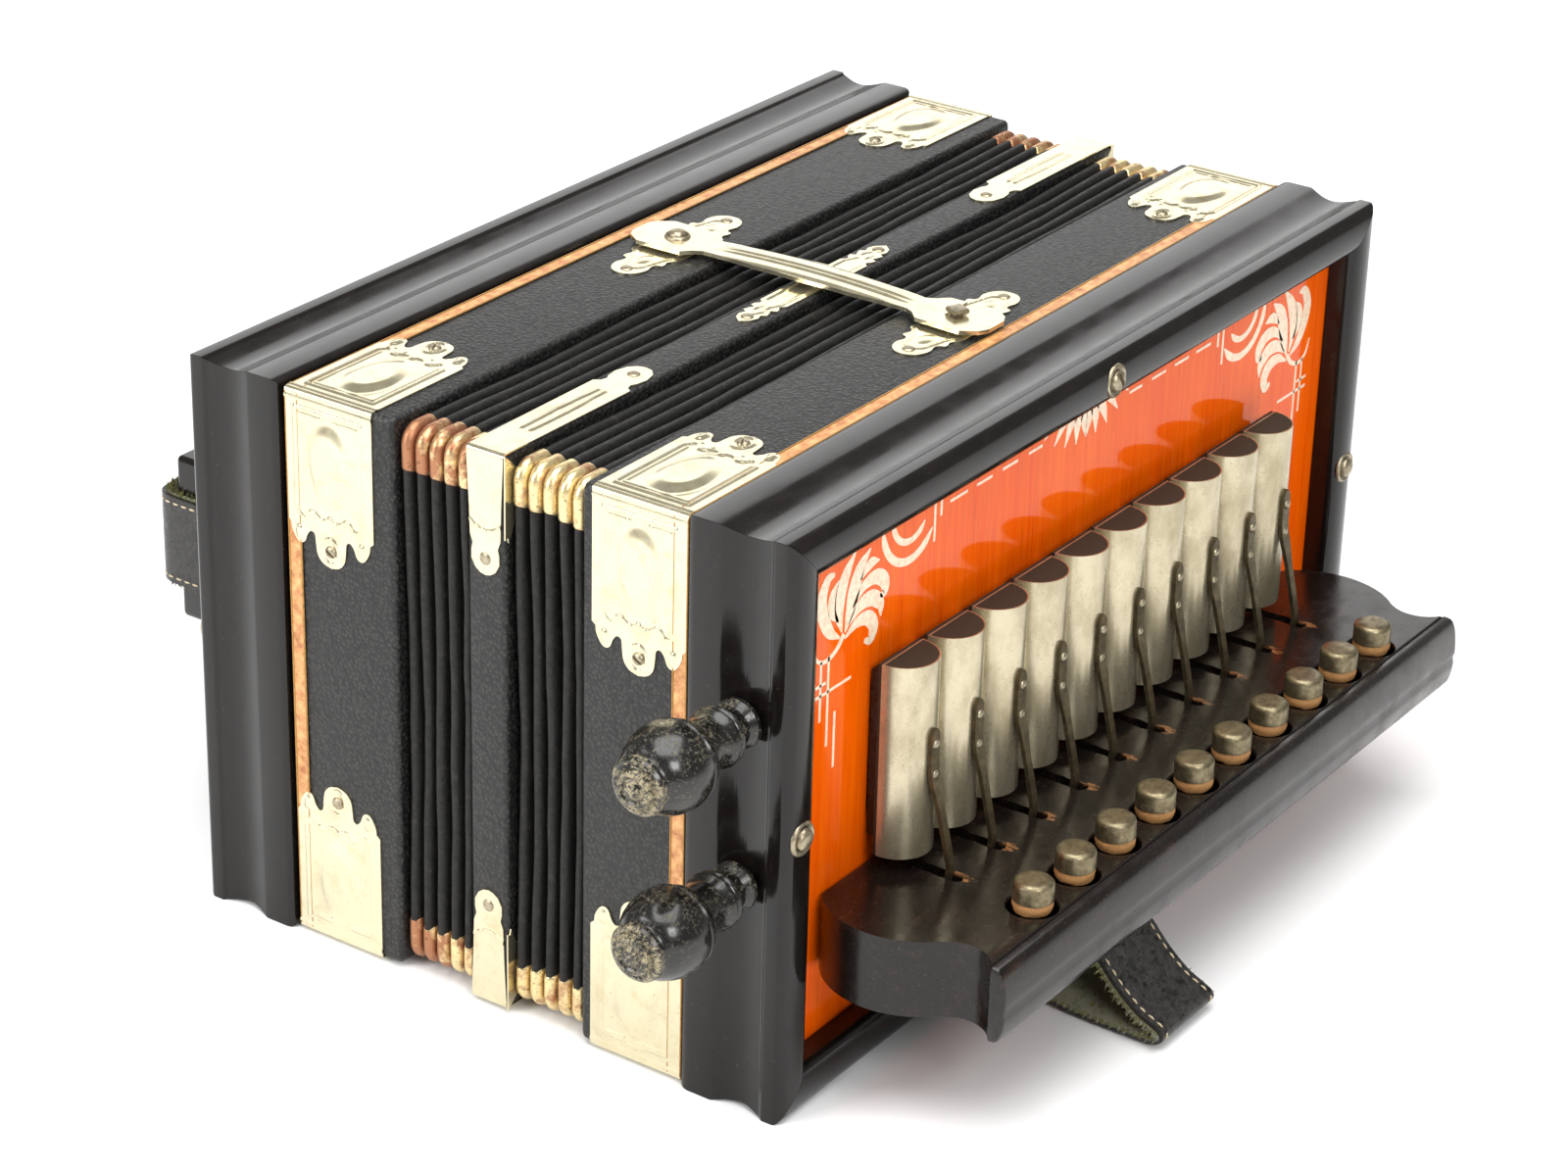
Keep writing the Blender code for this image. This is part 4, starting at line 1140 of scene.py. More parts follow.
def clip_relief(points):
    """Two long ribs on the upper arm and a shallow dish round each pin."""
    lift = np.zeros(len(points))
    for across in (-1.7, 1.7):
        rib = [(-46, across * 0.6), (-30, across), (-16, across * 0.8)]
        lift = np.maximum(lift, bead(points, rib, 1.3, 0.35))
    lift = np.maximum(lift, bead(points, arc((15.0, 0.0), 6.2, -50, 50, 8), 1.0, 0.35))
    return lift


def make_middle_clips():
    side = [(2.0, 5.6), (14.0, 5.0), (23.0, 4.7), (25.2, 3.9), (27.0, 4.3), (29.4, 4.3), (31.6, 3.1),
            (32.7, 1.5), (33.0, 0)]
    top = [(50.0, 5.8), (51.2, 4.2), (53.0, 3.7), (54.6, 4.5), (58.0, 5.0), (61.8, 4.1), (63.9, 2.2),
           (64.5, 0)]
    outline = doubled(side) + [(-run, -across) for run, across in doubled(top)]
    flap = [(SHEET_INSET, -1.2), (6.4, -6.1), (5.6, -18.0), (2.4, -24.5), (2.0, -23.0), (SHEET_INSET, -23.4)]
    for end, level, x_sign, z_sign in casing_corners():
        node = f"middle_clip_{end}_{level}"
        middle = centre_of(node)[1]
        place = fold_over(SHEET_INSET, x_sign, z_sign, middle, 1.2)
        clip = Drawing().sheet(outline, PLATE_SPACING, place, clip_relief, 0.4)
        side_flap = [
            (x_sign * (HALF_LENGTH - inset), MIDDLE_Z + z_sign * (MIDDLE_Z + run)) for inset, run in flap
        ]
        clip.prism(side_flap, "y", middle - 6.3, middle - 5.9)
        make(f"{node}_sheet", clip, "nickel_plate", "middle_frame", smooth=60, replaces=(node,))
        pins = Drawing()
        for run in (28.6, -59.2):
            centre = Vector(place((run, 0.0), 0.0))
            rivet(pins, centre, Vector(place((run, 0.0), 1.0)) - centre, 1.7, 0.55)
        make(f"{node}_pins", pins, "plated_steel", "middle_frame")


def four_way(quarter):
    """A closed outline from its quarter, whose first point is on the y axis and last one on the x axis."""
    right = doubled(quarter)
    return right + [(-x, y) for x, y in reversed(right) if x > 0]


def flat_plate(node, body, quarter, relief, pins):
    """A plate on top of a frame with a pin at each end; pins is their distance from the middle."""
    centre = Vector(centre_of(node)[:2])
    level = HEIGHT - FRAME_INSET + 0.42

    def place(p, lift):
        return (centre.x + p[0], centre.y + p[1], level + lift)

    plate = Drawing().sheet(four_way(quarter), PLATE_SPACING, place, relief, 0.35)
    name = f"{node.removesuffix('_plate')}_sheet"
    make(name, plate, "nickel_plate", body, smooth=60, replaces=(node,))
    heads = Drawing()
    for sign in (-1, 1):
        rivet(heads, (centre.x + sign * pins, centre.y, level), (0, 0, 1), 1.75, 0.6)
    make(f"{name}_pins", heads, "plated_steel", body)


def latch_plate_relief(points):
    p = np.abs(points)
    line = smooth_curve([(0, 6.4), (8.2, 6.4), (12, 4.8), (17.5, 3.4), (20.5, 2.6), (22, 0)], 4)
    boss = np.clip(1 - ((p[:, 0] - 15) / 3.5) ** 2 - (p[:, 1] / 2.2) ** 2, 0, 1)
    return bead(p, line, 0.9, 0.28) + 0.35 * boss


def ornament_plate_relief(points):
    p = np.abs(points)
    return bead(p, [(0, 2.7), (18.5, 2.7), (22, 1.2), (26, 1.4), (29, 0)], 0.8, 0.28)


def make_top_fittings():
    leaf = smooth_curve([(9.0, 8.0), (10.4, 7.7), (11.4, 6.6), (12.8, 6.0), (14.6, 6.6), (15.8, 6.4),
                         (16.4, 5.0), (18.0, 4.6), (20.2, 5.2), (22.6, 4.9), (24.8, 3.7), (26.1, 1.9),
                         (26.4, 0)], 3)
    for side in ("bass", "treble"):
        flat_plate(f"latch_plate_{side}", f"{side}_casing", [(0, 8.0), *leaf], latch_plate_relief, 22.8)
    jagged = [(0, 4.3), (18.6, 4.3), (19.6, 3.2), (20.6, 3.0), (21.6, 3.9), (23.0, 4.2), (23.8, 2.6),
              (25.2, 3.3), (27.0, 3.8), (28.0, 2.4), (30.0, 3.1), (32.4, 2.3), (34.5, 0)]
    flat_plate("middle_ornament_plate", "middle_frame", jagged, ornament_plate_relief, 30.6)
    make_latch_bar()


def make_latch_bar():
    """A sprung strip bowed up over the folds, ribbed along its middle, with angular ends."""
    low, high = BOX["latch_bar"]
    pivot_y = centre_of("latch_pivot_screw")[1]
    base, thick, middle = low.z, 1.2, BOARD_X
    half_outline = [(high.y, 3.4), (high.y - 1.2, 6.0), (high.y - 5.2, 9.0), (pivot_y - 7.0, 8.7),
                    (pivot_y - 9.5, 6.0), (pivot_y - 12.0, 4.6), (106.0, 5.7), (90.0, 6.4), (74.0, 5.7),
                    (57.8, 4.6), (55.4, 5.8), (52.6, 8.7), (38.6, 9.3), (34.4, 6.4), (low.y, 3.6)]
    outline = [(-w, y) for y, w in half_outline] + [(w, y) for y, w in reversed(half_outline)]
    bow_first, bow_last, bow = pivot_y - 12.0, 57.8, high.z - low.z - thick

    def place(p, lift):
        share = min(max((bow_first - p[1]) / (bow_first - bow_last), 0), 1)
        return (middle + p[0], p[1], base + thick + bow * math.sin(math.pi * share) - 0.05 + lift)

    def relief(points):
        across, y = np.abs(points[:, 0]), points[:, 1]
        share = np.clip((bow_first - y) / (bow_first - bow_last), 0, 1)
        fade = np.clip(np.minimum(share, 1 - share) * 8, 0, 1)
        ribs = np.clip(1 - ((across - 1.1) / 0.85) ** 2, 0, 1) * 0.42 * fade
        rolled = -0.45 * np.clip((across - 4.2) / 1.6, 0, 1) ** 2 * fade
        return ribs + rolled

    bar = Drawing().sheet(outline, PLATE_SPACING, place, relief, 1.1)
    bar = make("latch_bar_sheet", bar, "nickel_plate", "latch_bar", smooth=50, replaces=("latch_bar",))
    stud_y, notch = centre_of("latch_plate_treble")[1], 2.6
    cut(bar, Drawing().slab((middle - notch, stud_y - notch, base - 3),
                            (middle + 14.0, stud_y + notch, base + 6), 0.2, 1))
    top = base + thick + 0.05
    slotted_screw("latch_pivot_screw_head", "bass_casing", (middle, pivot_y, top), (0, 0, 1), 2.6, 35, 3.6,
                  ("latch_pivot_screw",))
    stud = Drawing()
    stud.lathe([(-2.6, 1.8), (0.3, 1.8)], (middle, stud_y, top), (0, 0, 1), 20)
    head = arc((middle, stud_y), 3.2, 20, 380, 4)[:-1]
    stud.prism(head, "z", top + 0.2, top + 2.0, 0.7, 2)
    make("latch_stud_head", stud, "plated_steel", "treble_casing")


# ---------------------------------------------------------------- keyboard


def board_outline():
    """The fingerboard in plan: bulged ends that sweep in and flare out again to the nosing."""
    low, high = BOX["fingerboard"]
    bulge = arc((100.0, -13.5), 24.0, 53.0, -47.5, 20)
    waist = arc((123.0, -38.0), 9.5, 134.0, 243.5, 14)
    right = [(bulge[0][0], high.y - 0.4), *bulge[1:], *waist[1:-1], (waist[-1][0], low.y)]
    return [(BOARD_X + x, y) for x, y in right] + [(BOARD_X - x, y) for x, y in reversed(right)]


def key_positions():
    return [FIRST_KEY + k * KEY_PITCH for k in range(KEYS)]


def make_fingerboard():
    drawing = Drawing().prism(board_outline(), "z", BOARD_BOTTOM, BOARD_TOP, 0.7, 3)
    board = make("fingerboard_body", drawing, "keyboard_lacquer", "treble_casing", smooth=30,
                 replaces=("fingerboard",))
    plate = 4.0
    low, high = BOX["fingerboard_base"]
    cut(board, Drawing().slab((low.x - 0.3, low.y - 0.3, BOARD_BOTTOM - 1),
                              (high.x + 0.3, high.y + 0.3, BOARD_TOP - plate), 0.05, 1))
    chance = random.Random(11)
    hole, flare = 6.5, 0.5
    bore = [(-plate - 1, hole), (-flare, hole), (0.0, hole + flare * 0.7), (1, hole + 2)]
    half, slot_back, steps = 1.6, 4.0, 9
    run = [SLOT_FRONT + (slot_back - SLOT_FRONT) * k / steps for k in range(steps + 1)]
    for x in key_positions():
        cut(board, Drawing().lathe(bore, (x, BUTTON_Y, BOARD_TOP), (0, 0, 1), 36))
        ragged = []
        for side in (-1, 1):
            wobble = [chance.uniform(-0.15, 0.5) if k < 5 else 0 for k in range(steps + 1)]
            edge = [(x + side * (half + w), y) for y, w in zip(run, wobble)]
            ragged += edge[::-1] if side > 0 else edge
        ragged = [(x + chance.uniform(-0.6, 0.6), SLOT_FRONT - chance.uniform(0.6, 2.2)), *ragged]
        cut(board, Drawing().prism(ragged, "z", BOARD_TOP - plate - 1, BOARD_TOP + 2))
    make_nosing()


def make_nosing():
    """The rounded front edge, with a fine groove near its lower edge."""
    low, high = BOX["fingerboard_nosing"]
    depth = high.y - low.y
    middle, half = (low.z + high.z) / 2, (high.z - low.z) / 2
    profile = []
    for angle in range(0, 181, 9):
        turn = math.radians(angle)
        profile.append((high.y - depth * math.sin(turn) ** 0.55, middle + half * math.cos(turn)))
    groove = [(y + (0.45 if 0.52 < (high.z - z) / (2 * half) < 0.6 else 0), z) for y, z in profile]
    loops = []
    for x, shrink in ((low.x, 0.82), (low.x + 0.5, 0.96), (low.x + 1.3, 1.0), (high.x - 1.3, 1.0),
                      (high.x - 0.5, 0.96), (high.x, 0.82)):
        loops.append([(x, high.y - (high.y - y) * shrink, middle + (z - middle) * shrink) for y, z in groove])
    make("fingerboard_nosing_bar", Drawing().skin(loops), "keyboard_lacquer", "treble_casing", smooth=40,
         replaces=("fingerboard_nosing",))


PALLET_LOW, PALLET_HIGH = 56.5, 109.5
LEVER_LINE = [(-10.4, 44.0), (-13.4, 48.5), (-15.2, 53.5), (-14.3, 59.0), (-12.4, 67.0), (-10.6, 74.5),
              (-9.3, 80.0), (-9.1, 86.0), (-9.1, 91.5)]
AXLE_Y, AXLE_Z = -10.0, 45.0


def tilted(drawing, x, chance):
    """Turns a key's drawing a little about its middle, as no two stand quite alike."""
    lean = Matrix.Rotation(math.radians(chance.uniform(-0.5, 0.5)), 4, "Y")
    middle = Vector((x, 0, BOARD_TOP))
    return drawing.place(Matrix.Translation(middle) @ lean @ Matrix.Translation(-middle))


def pallet_shell(x):
    """A tin D with a rolled rim at both ends."""
    half, back, bulge, recess = 8.95, 1.0, 9.6, 0.45
    turns = [math.radians(180 * k / 24) for k in range(25)]
    rim = [(1.0, recess), (0.05, recess), (0, 0.25), (0.05, 0.05), (0.3, 0.0)]
    levels = [(PALLET_LOW + up, shrink) for up, shrink in rim]
    levels += [(PALLET_HIGH - down, shrink) for down, shrink in reversed(rim)]
    loops = []
    for z, shrink in levels:
        across, out = half - shrink, bulge - 2 * shrink
        loops.append([(x + across * math.cos(a), back - shrink - out * math.sin(a), z) for a in turns])
    return Drawing().skin(loops)


def pallet_ends(x):
    """The painted plugs in the shell's ends."""
    front = arc((x, 0.9), (8.7, 9.3), 180, 360, 20)
    ends = Drawing()
    for level in (PALLET_LOW + 0.15, PALLET_HIGH - 0.95):
        ends.prism(front, "z", level, level + 0.8, 0.1, 1)
    return ends


def backing(x, half, front, back, inset, bevel):
    """A board behind the shell, from front to back, inset from the shell's ends."""
    return Drawing().slab((x - half, front, PALLET_LOW + inset), (x + half, back, PALLET_HIGH - inset), bevel)


def key_lever(x, sway):
    """A flat bent lever that widens where it is riveted to the pallet, with its hub and its button's stem."""
    lever = Drawing()
    points = [Vector(p) for p in smooth_curve(LEVER_LINE, 4)]
    last, thick = len(points) - 1, 0.6
    loops = []
    for i, (point, run) in enumerate(zip(points, directions(points))):
        out = Vector((-run.y, run.x)) * thick
        middle_x = x + sway * math.sin(math.pi * min(i / last * 1.4, 1))
        wide = 1.2 + 0.65 * min(max((point.y - 70.0) / 6.0, 0), 1)
        wide *= {last: 0.35, last - 1: 0.85}.get(i, 1.0)
        corners = [(-wide, 1), (wide, 1), (wide, -1), (-wide, -1)]
        loops.append([(middle_x + dx, point.x + out.x * s, point.y + out.y * s) for dx, s in corners])
    lever.skin(loops)
    sharp = [e for e in lever.bm.edges if e.calc_face_angle(0) > 0.9]
    bmesh.ops.bevel(lever.bm, geom=sharp, offset=0.18, segments=2, affect="EDGES")
    lever.slab((x - 1.7, BUTTON_Y - 2.4, AXLE_Z - 1.6), (x + 1.7, AXLE_Y, AXLE_Z + 1.6), 0.3)
    lever.lathe([(-1.75, 3.2), (1.75, 3.2)], (x, AXLE_Y, AXLE_Z), (1, 0, 0), 20)
    return lever.lathe([(0, 2.4), (BOARD_TOP - AXLE_Z - 1, 2.4)], (x, BUTTON_Y, AXLE_Z + 0.5), (0, 0, 1), 16)


def lever_rivets(x):
    rivets = Drawing()
    for z in (87.3, 79.0):
        rivet(rivets, (x, -9.75, z), (0, -1, -0.02), 1.35, 0.75)
    return rivets


def make_keys():
    chance = random.Random(5)
    for k, x in enumerate(key_positions(), 1):
        tag = f"{k:02d}"
        body, lean_seed = f"key_{tag}", chance.random()
        sway = chance.uniform(-0.3, 0.3)
        parts = (
            ("pallet_shell", pallet_shell(x), "tin_sheet"),
            ("pallet_ends", pallet_ends(x), "dark_end_and_gap_shade"),
            # The back board takes the dark end colour as painted shade of the gap behind the pallet.
            ("pallet_back", backing(x, 8.7, 1.0, 2.1, 0.1, 0.25), "dark_end_and_gap_shade"),
            # The pad takes the black strap leather, partly its own colour and partly painted shade, so that
            # it reads as the shaded gap behind the pallet.
            ("pallet_pad", backing(x, 6.2, 2.0, PANEL_FACE - 0.4, 3.5, 0.5), "strap_leather"),
            ("lever", key_lever(x, sway), "lever_steel"),
            ("lever_rivets", lever_rivets(x), "plated_steel"),
        )
        for part, drawing, look in parts:
            shell = part == "pallet_shell"
            make(f"{part}_{tag}", tilted(drawing, x, random.Random(lean_seed)), look, body,
                 smooth=40 if shell else 35, replaces=(f"pallet_lever_{tag}",) if shell else ())
        make_button(x, body, tag, chance)


def make_button(x, body, tag, chance):
    """A pewter cap on a wooden core, tipped a little."""
    low, high = BOX[f"button_{tag}"]
    radius, top = (high.x - low.x) / 2 - 0.5, high.z - low.z
    wood = 2.6
    lean = Matrix.Rotation(math.radians(chance.uniform(-1.5, 1.5)), 4, (chance.random(), chance.random(), 0))
    middle = Vector((x, BUTTON_Y, low.z))
    tip = Matrix.Translation(middle) @ lean @ Matrix.Translation(-middle)
    shoulder = ((1.5, 0.05), (0.9, 0.2), (0.45, 0.6), (0.18, 1.3), (0.06, 2.4))
    profile = [(wood, radius * 0.9), (wood, radius), (wood + 0.25, radius + 0.02),
               (wood + 0.6, radius - 0.05),
               *[(top - down, radius - inset) for down, inset in shoulder], (top, radius * 0.25), (top, 0.0)]
    cap = Drawing().lathe(profile, (x, BUTTON_Y, low.z), (0, 0, 1), 36).place(tip)
    make(f"button_cap_{tag}", cap, "pewter", body, smooth=50, replaces=(f"button_{tag}",))
    turns = [math.tau * i / 32 for i in range(32)]
    loops = []
    for height, size in ((-0.5, 4.7), (0.3, 5.05), (1.2, 5.15), (2.0, 5.1), (2.65, 4.9)):
        loops.append([
            (x + (size + chance.uniform(-0.14, 0.14)) * math.cos(a),
             BUTTON_Y + (size + chance.uniform(-0.14, 0.14)) * math.sin(a), low.z + height)
            for a in turns
        ])
    core = Drawing().skin(loops).place(tip)
    make(f"button_wood_{tag}", core, "bare_wood", body, smooth=60)


def make_knobs():
    """Turned stop knobs: foot, neck, waisted collar, and a flattened ball with a raised bullseye."""
    reach = -HALF_LENGTH - BOX["stop_knob_upper"][0].x
    foot = [(-24.0, 3.0), (0.4, 3.0), (0.4, 6.1), (1.0, 6.5), (1.9, 6.4), (2.8, 5.7), (3.6, 5.1),
            (5.4, 4.9), (7.2, 5.1)]
    collar = [(7.6, 6.2), (8.0, 7.0), (8.6, 7.4), (9.2, 7.3), (9.6, 7.0), (10.0, 7.35), (10.8, 7.7),
              (11.6, 7.5), (12.6, 6.9), (14.2, 6.6), (16.4, 6.7), (18.2, 7.1), (18.9, 7.0)]
    ball = [(19.4, 7.2), (20.2, 8.3), (21.6, 9.4), (23.2, 10.2), (24.4, 10.7), (24.9, 10.3), (25.4, 10.8),
            (27.0, 11.2), (29.0, 11.3), (31.0, 11.0), (33.0, 10.4), (34.8, 9.6), (36.2, 8.7), (37.2, 7.8),
            (37.8, 7.0)]
    bullseye = [(38.3, 6.7), (38.7, 7.2), (39.3, 7.55), (40.2, 7.5), (41.0, 6.9), (41.3, 6.1), (41.0, 5.4),
                (41.2, 5.0), (42.2, 4.9), (42.9, 4.3), (43.0, 3.5), (42.6, 2.9), (42.8, 2.5), (43.5, 1.8),
                (43.8, 0)]
    stretch = reach / 44.5
    profile = [(d * stretch, r) for d, r in (*foot, *collar, *ball, *bullseye)]
    for level in ("upper", "lower"):
        x, y, z = knob_centre(level)
        knob = Drawing().lathe(profile, (x, y, z), (-1, 0, 0), 56)
        slide_end = BOX[f"stop_knob_{level}"][1].x
        knob.slab((x + 21, y - 1.1, z - 8), (slide_end, y + 1.1, z + 8), 0.2)
        make(f"stop_knob_{level}_turning", knob, "turned_wood", f"stop_{level}", smooth=28,
             replaces=(f"stop_knob_{level}",))


# ---------------------------------------------------------------- the panel's painted ornament


def stroke(drawing, line, widths, per=6):
    """A painted stroke on the panel: line is (x, z) points, widths its half widths at them."""
    path = smooth_curve([(*p, w) for p, w in zip(line, widths)], per)
    left, right = [], []
    for i, (x, z, half) in enumerate(path):
        ahead, behind = path[min(i + 1, len(path) - 1)], path[max(i - 1, 0)]
        run = Vector((ahead[0] - behind[0], ahead[1] - behind[1])).normalized()
        left.append((x - run.y * half, z + run.x * half))
        right.append((x + run.y * half, z - run.x * half))
    front, back = PANEL_FACE - 0.12, PANEL_FACE + 0.02
    drawing.skin([
        [(lx, front, lz), (rx, front, rz), (rx, back, rz), (lx, back, lz)]
        for (lx, lz), (rx, rz) in zip(left, right)
    ])


def corner_flower(drawing):
    """A stylised bud on a hooked stem in the upper left corner, with broad curled petals."""
    base = Vector((-110.0, 118.0))
    petals = (
        (2.3, (0.6, 2.0), (2.6, 7.0), (4.0, 12.0), (6.4, 17.0), (10.6, 20.6)),
        (2.0, (-0.8, 2.6), (-2.2, 8.0), (-1.6, 13.5), (0.6, 18.0), (4.4, 22.6)),
        (1.9, (-1.6, 1.4), (-5.6, 4.2), (-8.4, 8.6), (-9.8, 14.0), (-7.6, 18.8), (-4.6, 19.4)),
        (1.4, (-2.4, 6.0), (-5.2, 9.6), (-5.0, 14.0), (-2.6, 17.0)),
        (1.8, (0.6, 0.4), (5.4, 2.6), (10.2, 2.2), (13.0, -1.0), (11.8, -4.2), (9.2, -3.6)),
        (1.9, (2.0, 3.4), (6.4, 6.6), (11.6, 7.0), (15.6, 4.0), (16.0, 0.4)),
        (1.8, (3.6, 7.4), (8.2, 11.4), (13.4, 12.0), (17.0, 9.6), (17.4, 6.6), (15.4, 6.0)),
        (1.3, (6.6, 13.6), (10.6, 16.4), (14.6, 16.0)),
    )
    for wide, *points in petals:
        line = [tuple(base + Vector(p)) for p in points]
        middle = (len(line) - 1) / 2
        widths = [0.25 + wide * (1 - (abs(i - middle) / middle) ** 2) for i in range(len(line))]
        widths[-1] = 0.55 if len(line) > 5 else 0.2
        stroke(drawing, line, widths)
    stem = [(-109.8, 119.8), (-113.0, 116.6), (-117.4, 115.4), (-121.0, 117.0), (-122.8, 121.0)]
    stroke(drawing, stem, [0.8, 0.7, 0.6, 0.45, 0.25])


def side_lines(drawing):
    """Crossed and staggered thin lines down the side of the panel."""
    for x, top, bottom in ((-119.2, 116.0, 99.8), (-116.0, 116.2, 92.0), (-112.8, 100.2, 85.0)):
        stroke(drawing, [(x, top), (x, bottom)], [0.42, 0.42], 2)
    for z, left, right in ((109.6, -122.4, -117.0), (106.8, -122.4, -106.2)):
        stroke(drawing, [(left, z), (right, z)], [0.4, 0.4], 2)


def hanging_crescents(drawing):
    """Two nested arcs below the rim, with short upright lines beside them."""
    for rx, rz, wide in ((12.4, 13.6, 1.1), (8.0, 8.4, 0.9)):
        line = arc((-82.0, 142.5), (rx, rz), 184, 322, 8)
        stroke(drawing, line, [0.2, *[wide] * (len(line) - 2), 0.2], 3)
    for x, low in ((-71.2, 129.8), (-68.4, 135.8)):
        stroke(drawing, [(x, 145.0), (x, low)], [0.45, 0.45], 2)


def top_dashes(drawing):
    for left, right in ((-64.4, -56.6), (-52.4, -45.2), (-40.4, -33.2), (-28.0, -21.6)):
        stroke(drawing, [(left, 138.2), (right, 138.2)], [0.4, 0.4], 2)


def palmette(drawing):
    """The left half of a fan of leaves that hangs from the middle of the top rim."""
    for angle, length, wide in ((-90, 11.5, 1.5), (-110, 12.8, 1.8), (-130, 14.8, 1.9), (-147, 17.4, 1.8),
                                (-162, 20.5, 1.6)):
        turn = math.radians(angle)
        start = Vector((1.4 * math.cos(turn), 146.0 + 1.4 * math.sin(turn)))
        tip = start + Vector((math.cos(turn), math.sin(turn))) * length
        bend = Vector((-math.sin(turn), math.cos(turn))) * (-0.12 * length)
        middle = (start + tip) / 2 + bend
        stroke(drawing, [tuple(start), tuple(middle), tuple(tip)], [0.4, wide, 0.15], 6)


def make_ornament():
    for end, sign in (("left", 1), ("right", -1)):
        drawing = Drawing()
        for draw in (corner_flower, side_lines, hanging_crescents, top_dashes, palmette):
            draw(drawing)
        drawing.place(Matrix.Scale(-1, 4, (1, 0, 0)) if sign < 0 else Matrix.Identity(4))
        make(f"panel_ornament_{end}", drawing, "painted_ornament", "treble_casing")


# ---------------------------------------------------------------- straps


def tufts(drawing, seats, length, chance):
    """Short tapered tufts: seats are (point, direction) pairs."""
    for point, direction in seats:
        along = (Vector(direction) + Vector([chance.uniform(-0.5, 0.5) for _ in range(3)])).normalized()
        side = along.orthogonal().normalized()
        up = along.cross(side)
        size, reach = chance.uniform(0.22, 0.42), length * chance.uniform(0.6, 1.15)
        base = [Vector(point) + turned(a, side, up) * size for a in (0, 2.09, 4.19)]
        corners = [drawing.bm.verts.new(p) for p in base]
        tip = drawing.bm.verts.new(Vector(point) + along * reach)
        drawing.bm.faces.new(corners[::-1])
        for i in range(3):
            drawing.bm.faces.new((corners[i], corners[(i + 1) % 3], tip))


def make_strap(name, body, node, path, place, half, out_axis, seed):
    """Leather outside, plush inside, and a row of stitches near each edge."""
    chance = random.Random(seed)
    line = [Vector(p) for p in smooth_curve(path, 5)]
    offsets = [Vector((-run.y, run.x)) for run in directions(line)]
    leather_path = [p - n * 0.5 for p, n in zip(line, offsets)]
    leather = Drawing().strip(leather_path, place, half, 1.3, 0.0, 8)
    make(name, leather, "strap_leather", body, smooth=60, replaces=(node,))
    plush_path = [p + n * 0.75 for p, n in zip(line[1:-1], offsets[1:-1])]
    plush = Drawing().strip(plush_path, place, half + 0.35, 1.1, 0.2, 8)
    seats = []
    for p, n in zip(plush_path, offsets[1:-1]):
        for side in (-1, 1):
            for _ in range(5):
                jitter = n * chance.uniform(-0.5, 0.7)
                seats.append((place(p + jitter, side * (half + 0.2)), out_axis * side))
        inner = Vector(place(p + n, 0)) - Vector(place(p, 0))
        for _ in range(9):
            across = chance.uniform(-half, half)
            seats.append((place(p + n * 0.4, across), inner))
    tufts(plush, seats, 2.0, chance)
    make(f"{name}_lining", plush, "strap_plush", body, smooth=80)
    stitches = Drawing()
    length, gap, since = 1.9, 0.9, 0.0
    for i in range(1, len(leather_path) - 2):
        a, b = leather_path[i], leather_path[i + 1]
        run = b - a
        steps = max(1, int(run.length / 0.25))
        for s in range(steps):
            since += run.length / steps
            if since < length + gap:
                continue
            since = 0.0
            centre = a + run * s / steps
            along = run.normalized() * length / 2
            lift = -offsets[i] * 0.66
            for side in (-1, 1):
                edge = side * (half - 1.7)
                ends = [place(centre - along + lift * 0.75, edge), place(centre + lift * 1.08, edge),
                        place(centre + along + lift * 0.75, edge)]
                stitches.tube(ends, [0.2, 0.32, 0.2], 6)
    make(f"{name}_stitches", stitches, "linen_thread", body, smooth=80)


def make_straps():
    low, high = BOX["thumb_strap"]
    middle, half, edge = (low.x + high.x) / 2, (high.x - low.x) / 2, 0.6
    top = BOARD_BOTTOM - 1.9
    loop = [(-16.0, top), (-24.0, 29.0), (-31.0, 26.0), (-37.5, 20.5), (-44.0, 13.5), (-50.5, 8.2),
            (-55.5, 5.8), (-57.9, 4.1), (-55.5, 2.1), (-48.0, 1.9), (-38.0, 2.0), (-28.0, 2.6),
            (-19.0, 5.2), (-12.0, 10.8), (-8.6, 18.0), (-8.0, 24.0), (-8.0, top)]

    def under_board(p, across):
        return (middle + across, p[0], p[1])

    make_strap("thumb_strap_leather", "treble_casing", "thumb_strap", loop, under_board, half - edge,
               Vector((1, 0, 0)), 3)
    low, high = BOX["hand_strap"]
    end = high.x - 1.5
    centre = (low.z + high.z) / 2
    half = (high.z - low.z) / 2
    arch_start, arch_half = 230.6, 100.0
    rise = high.y - 1.6 - arch_start
    shares = [i / 8 for i in range(9)]
    arch = [(arch_half * (1 - s), arch_start + rise * math.sin(math.pi / 2 * s)) for s in shares]
    post = [(end, y) for y in (low.y, 200.0, 212.0, 222.0)]
    right = [*post, (end - 0.6, 227.0), (end - 3.0, 229.6), *arch]
    path = right + [(-x, y) for x, y in reversed(right[:-1])]

    def round_box(p, across):
        return (p[0], p[1], centre + across)

    make_strap("hand_strap_leather", "bass_casing", "hand_strap", path, round_box, half - edge,
               Vector((0, 0, 1)), 4)
    for end, sign in (("left", -1), ("right", 1)):
        place = (sign * (high.x - 0.5) - sign * 0.8, 193.0, centre)
        slotted_screw(f"hand_strap_screw_{end}", "bass_casing", place, (sign, 0, 0), 2.2, 30, 3.2)


# ---------------------------------------------------------------- bass side


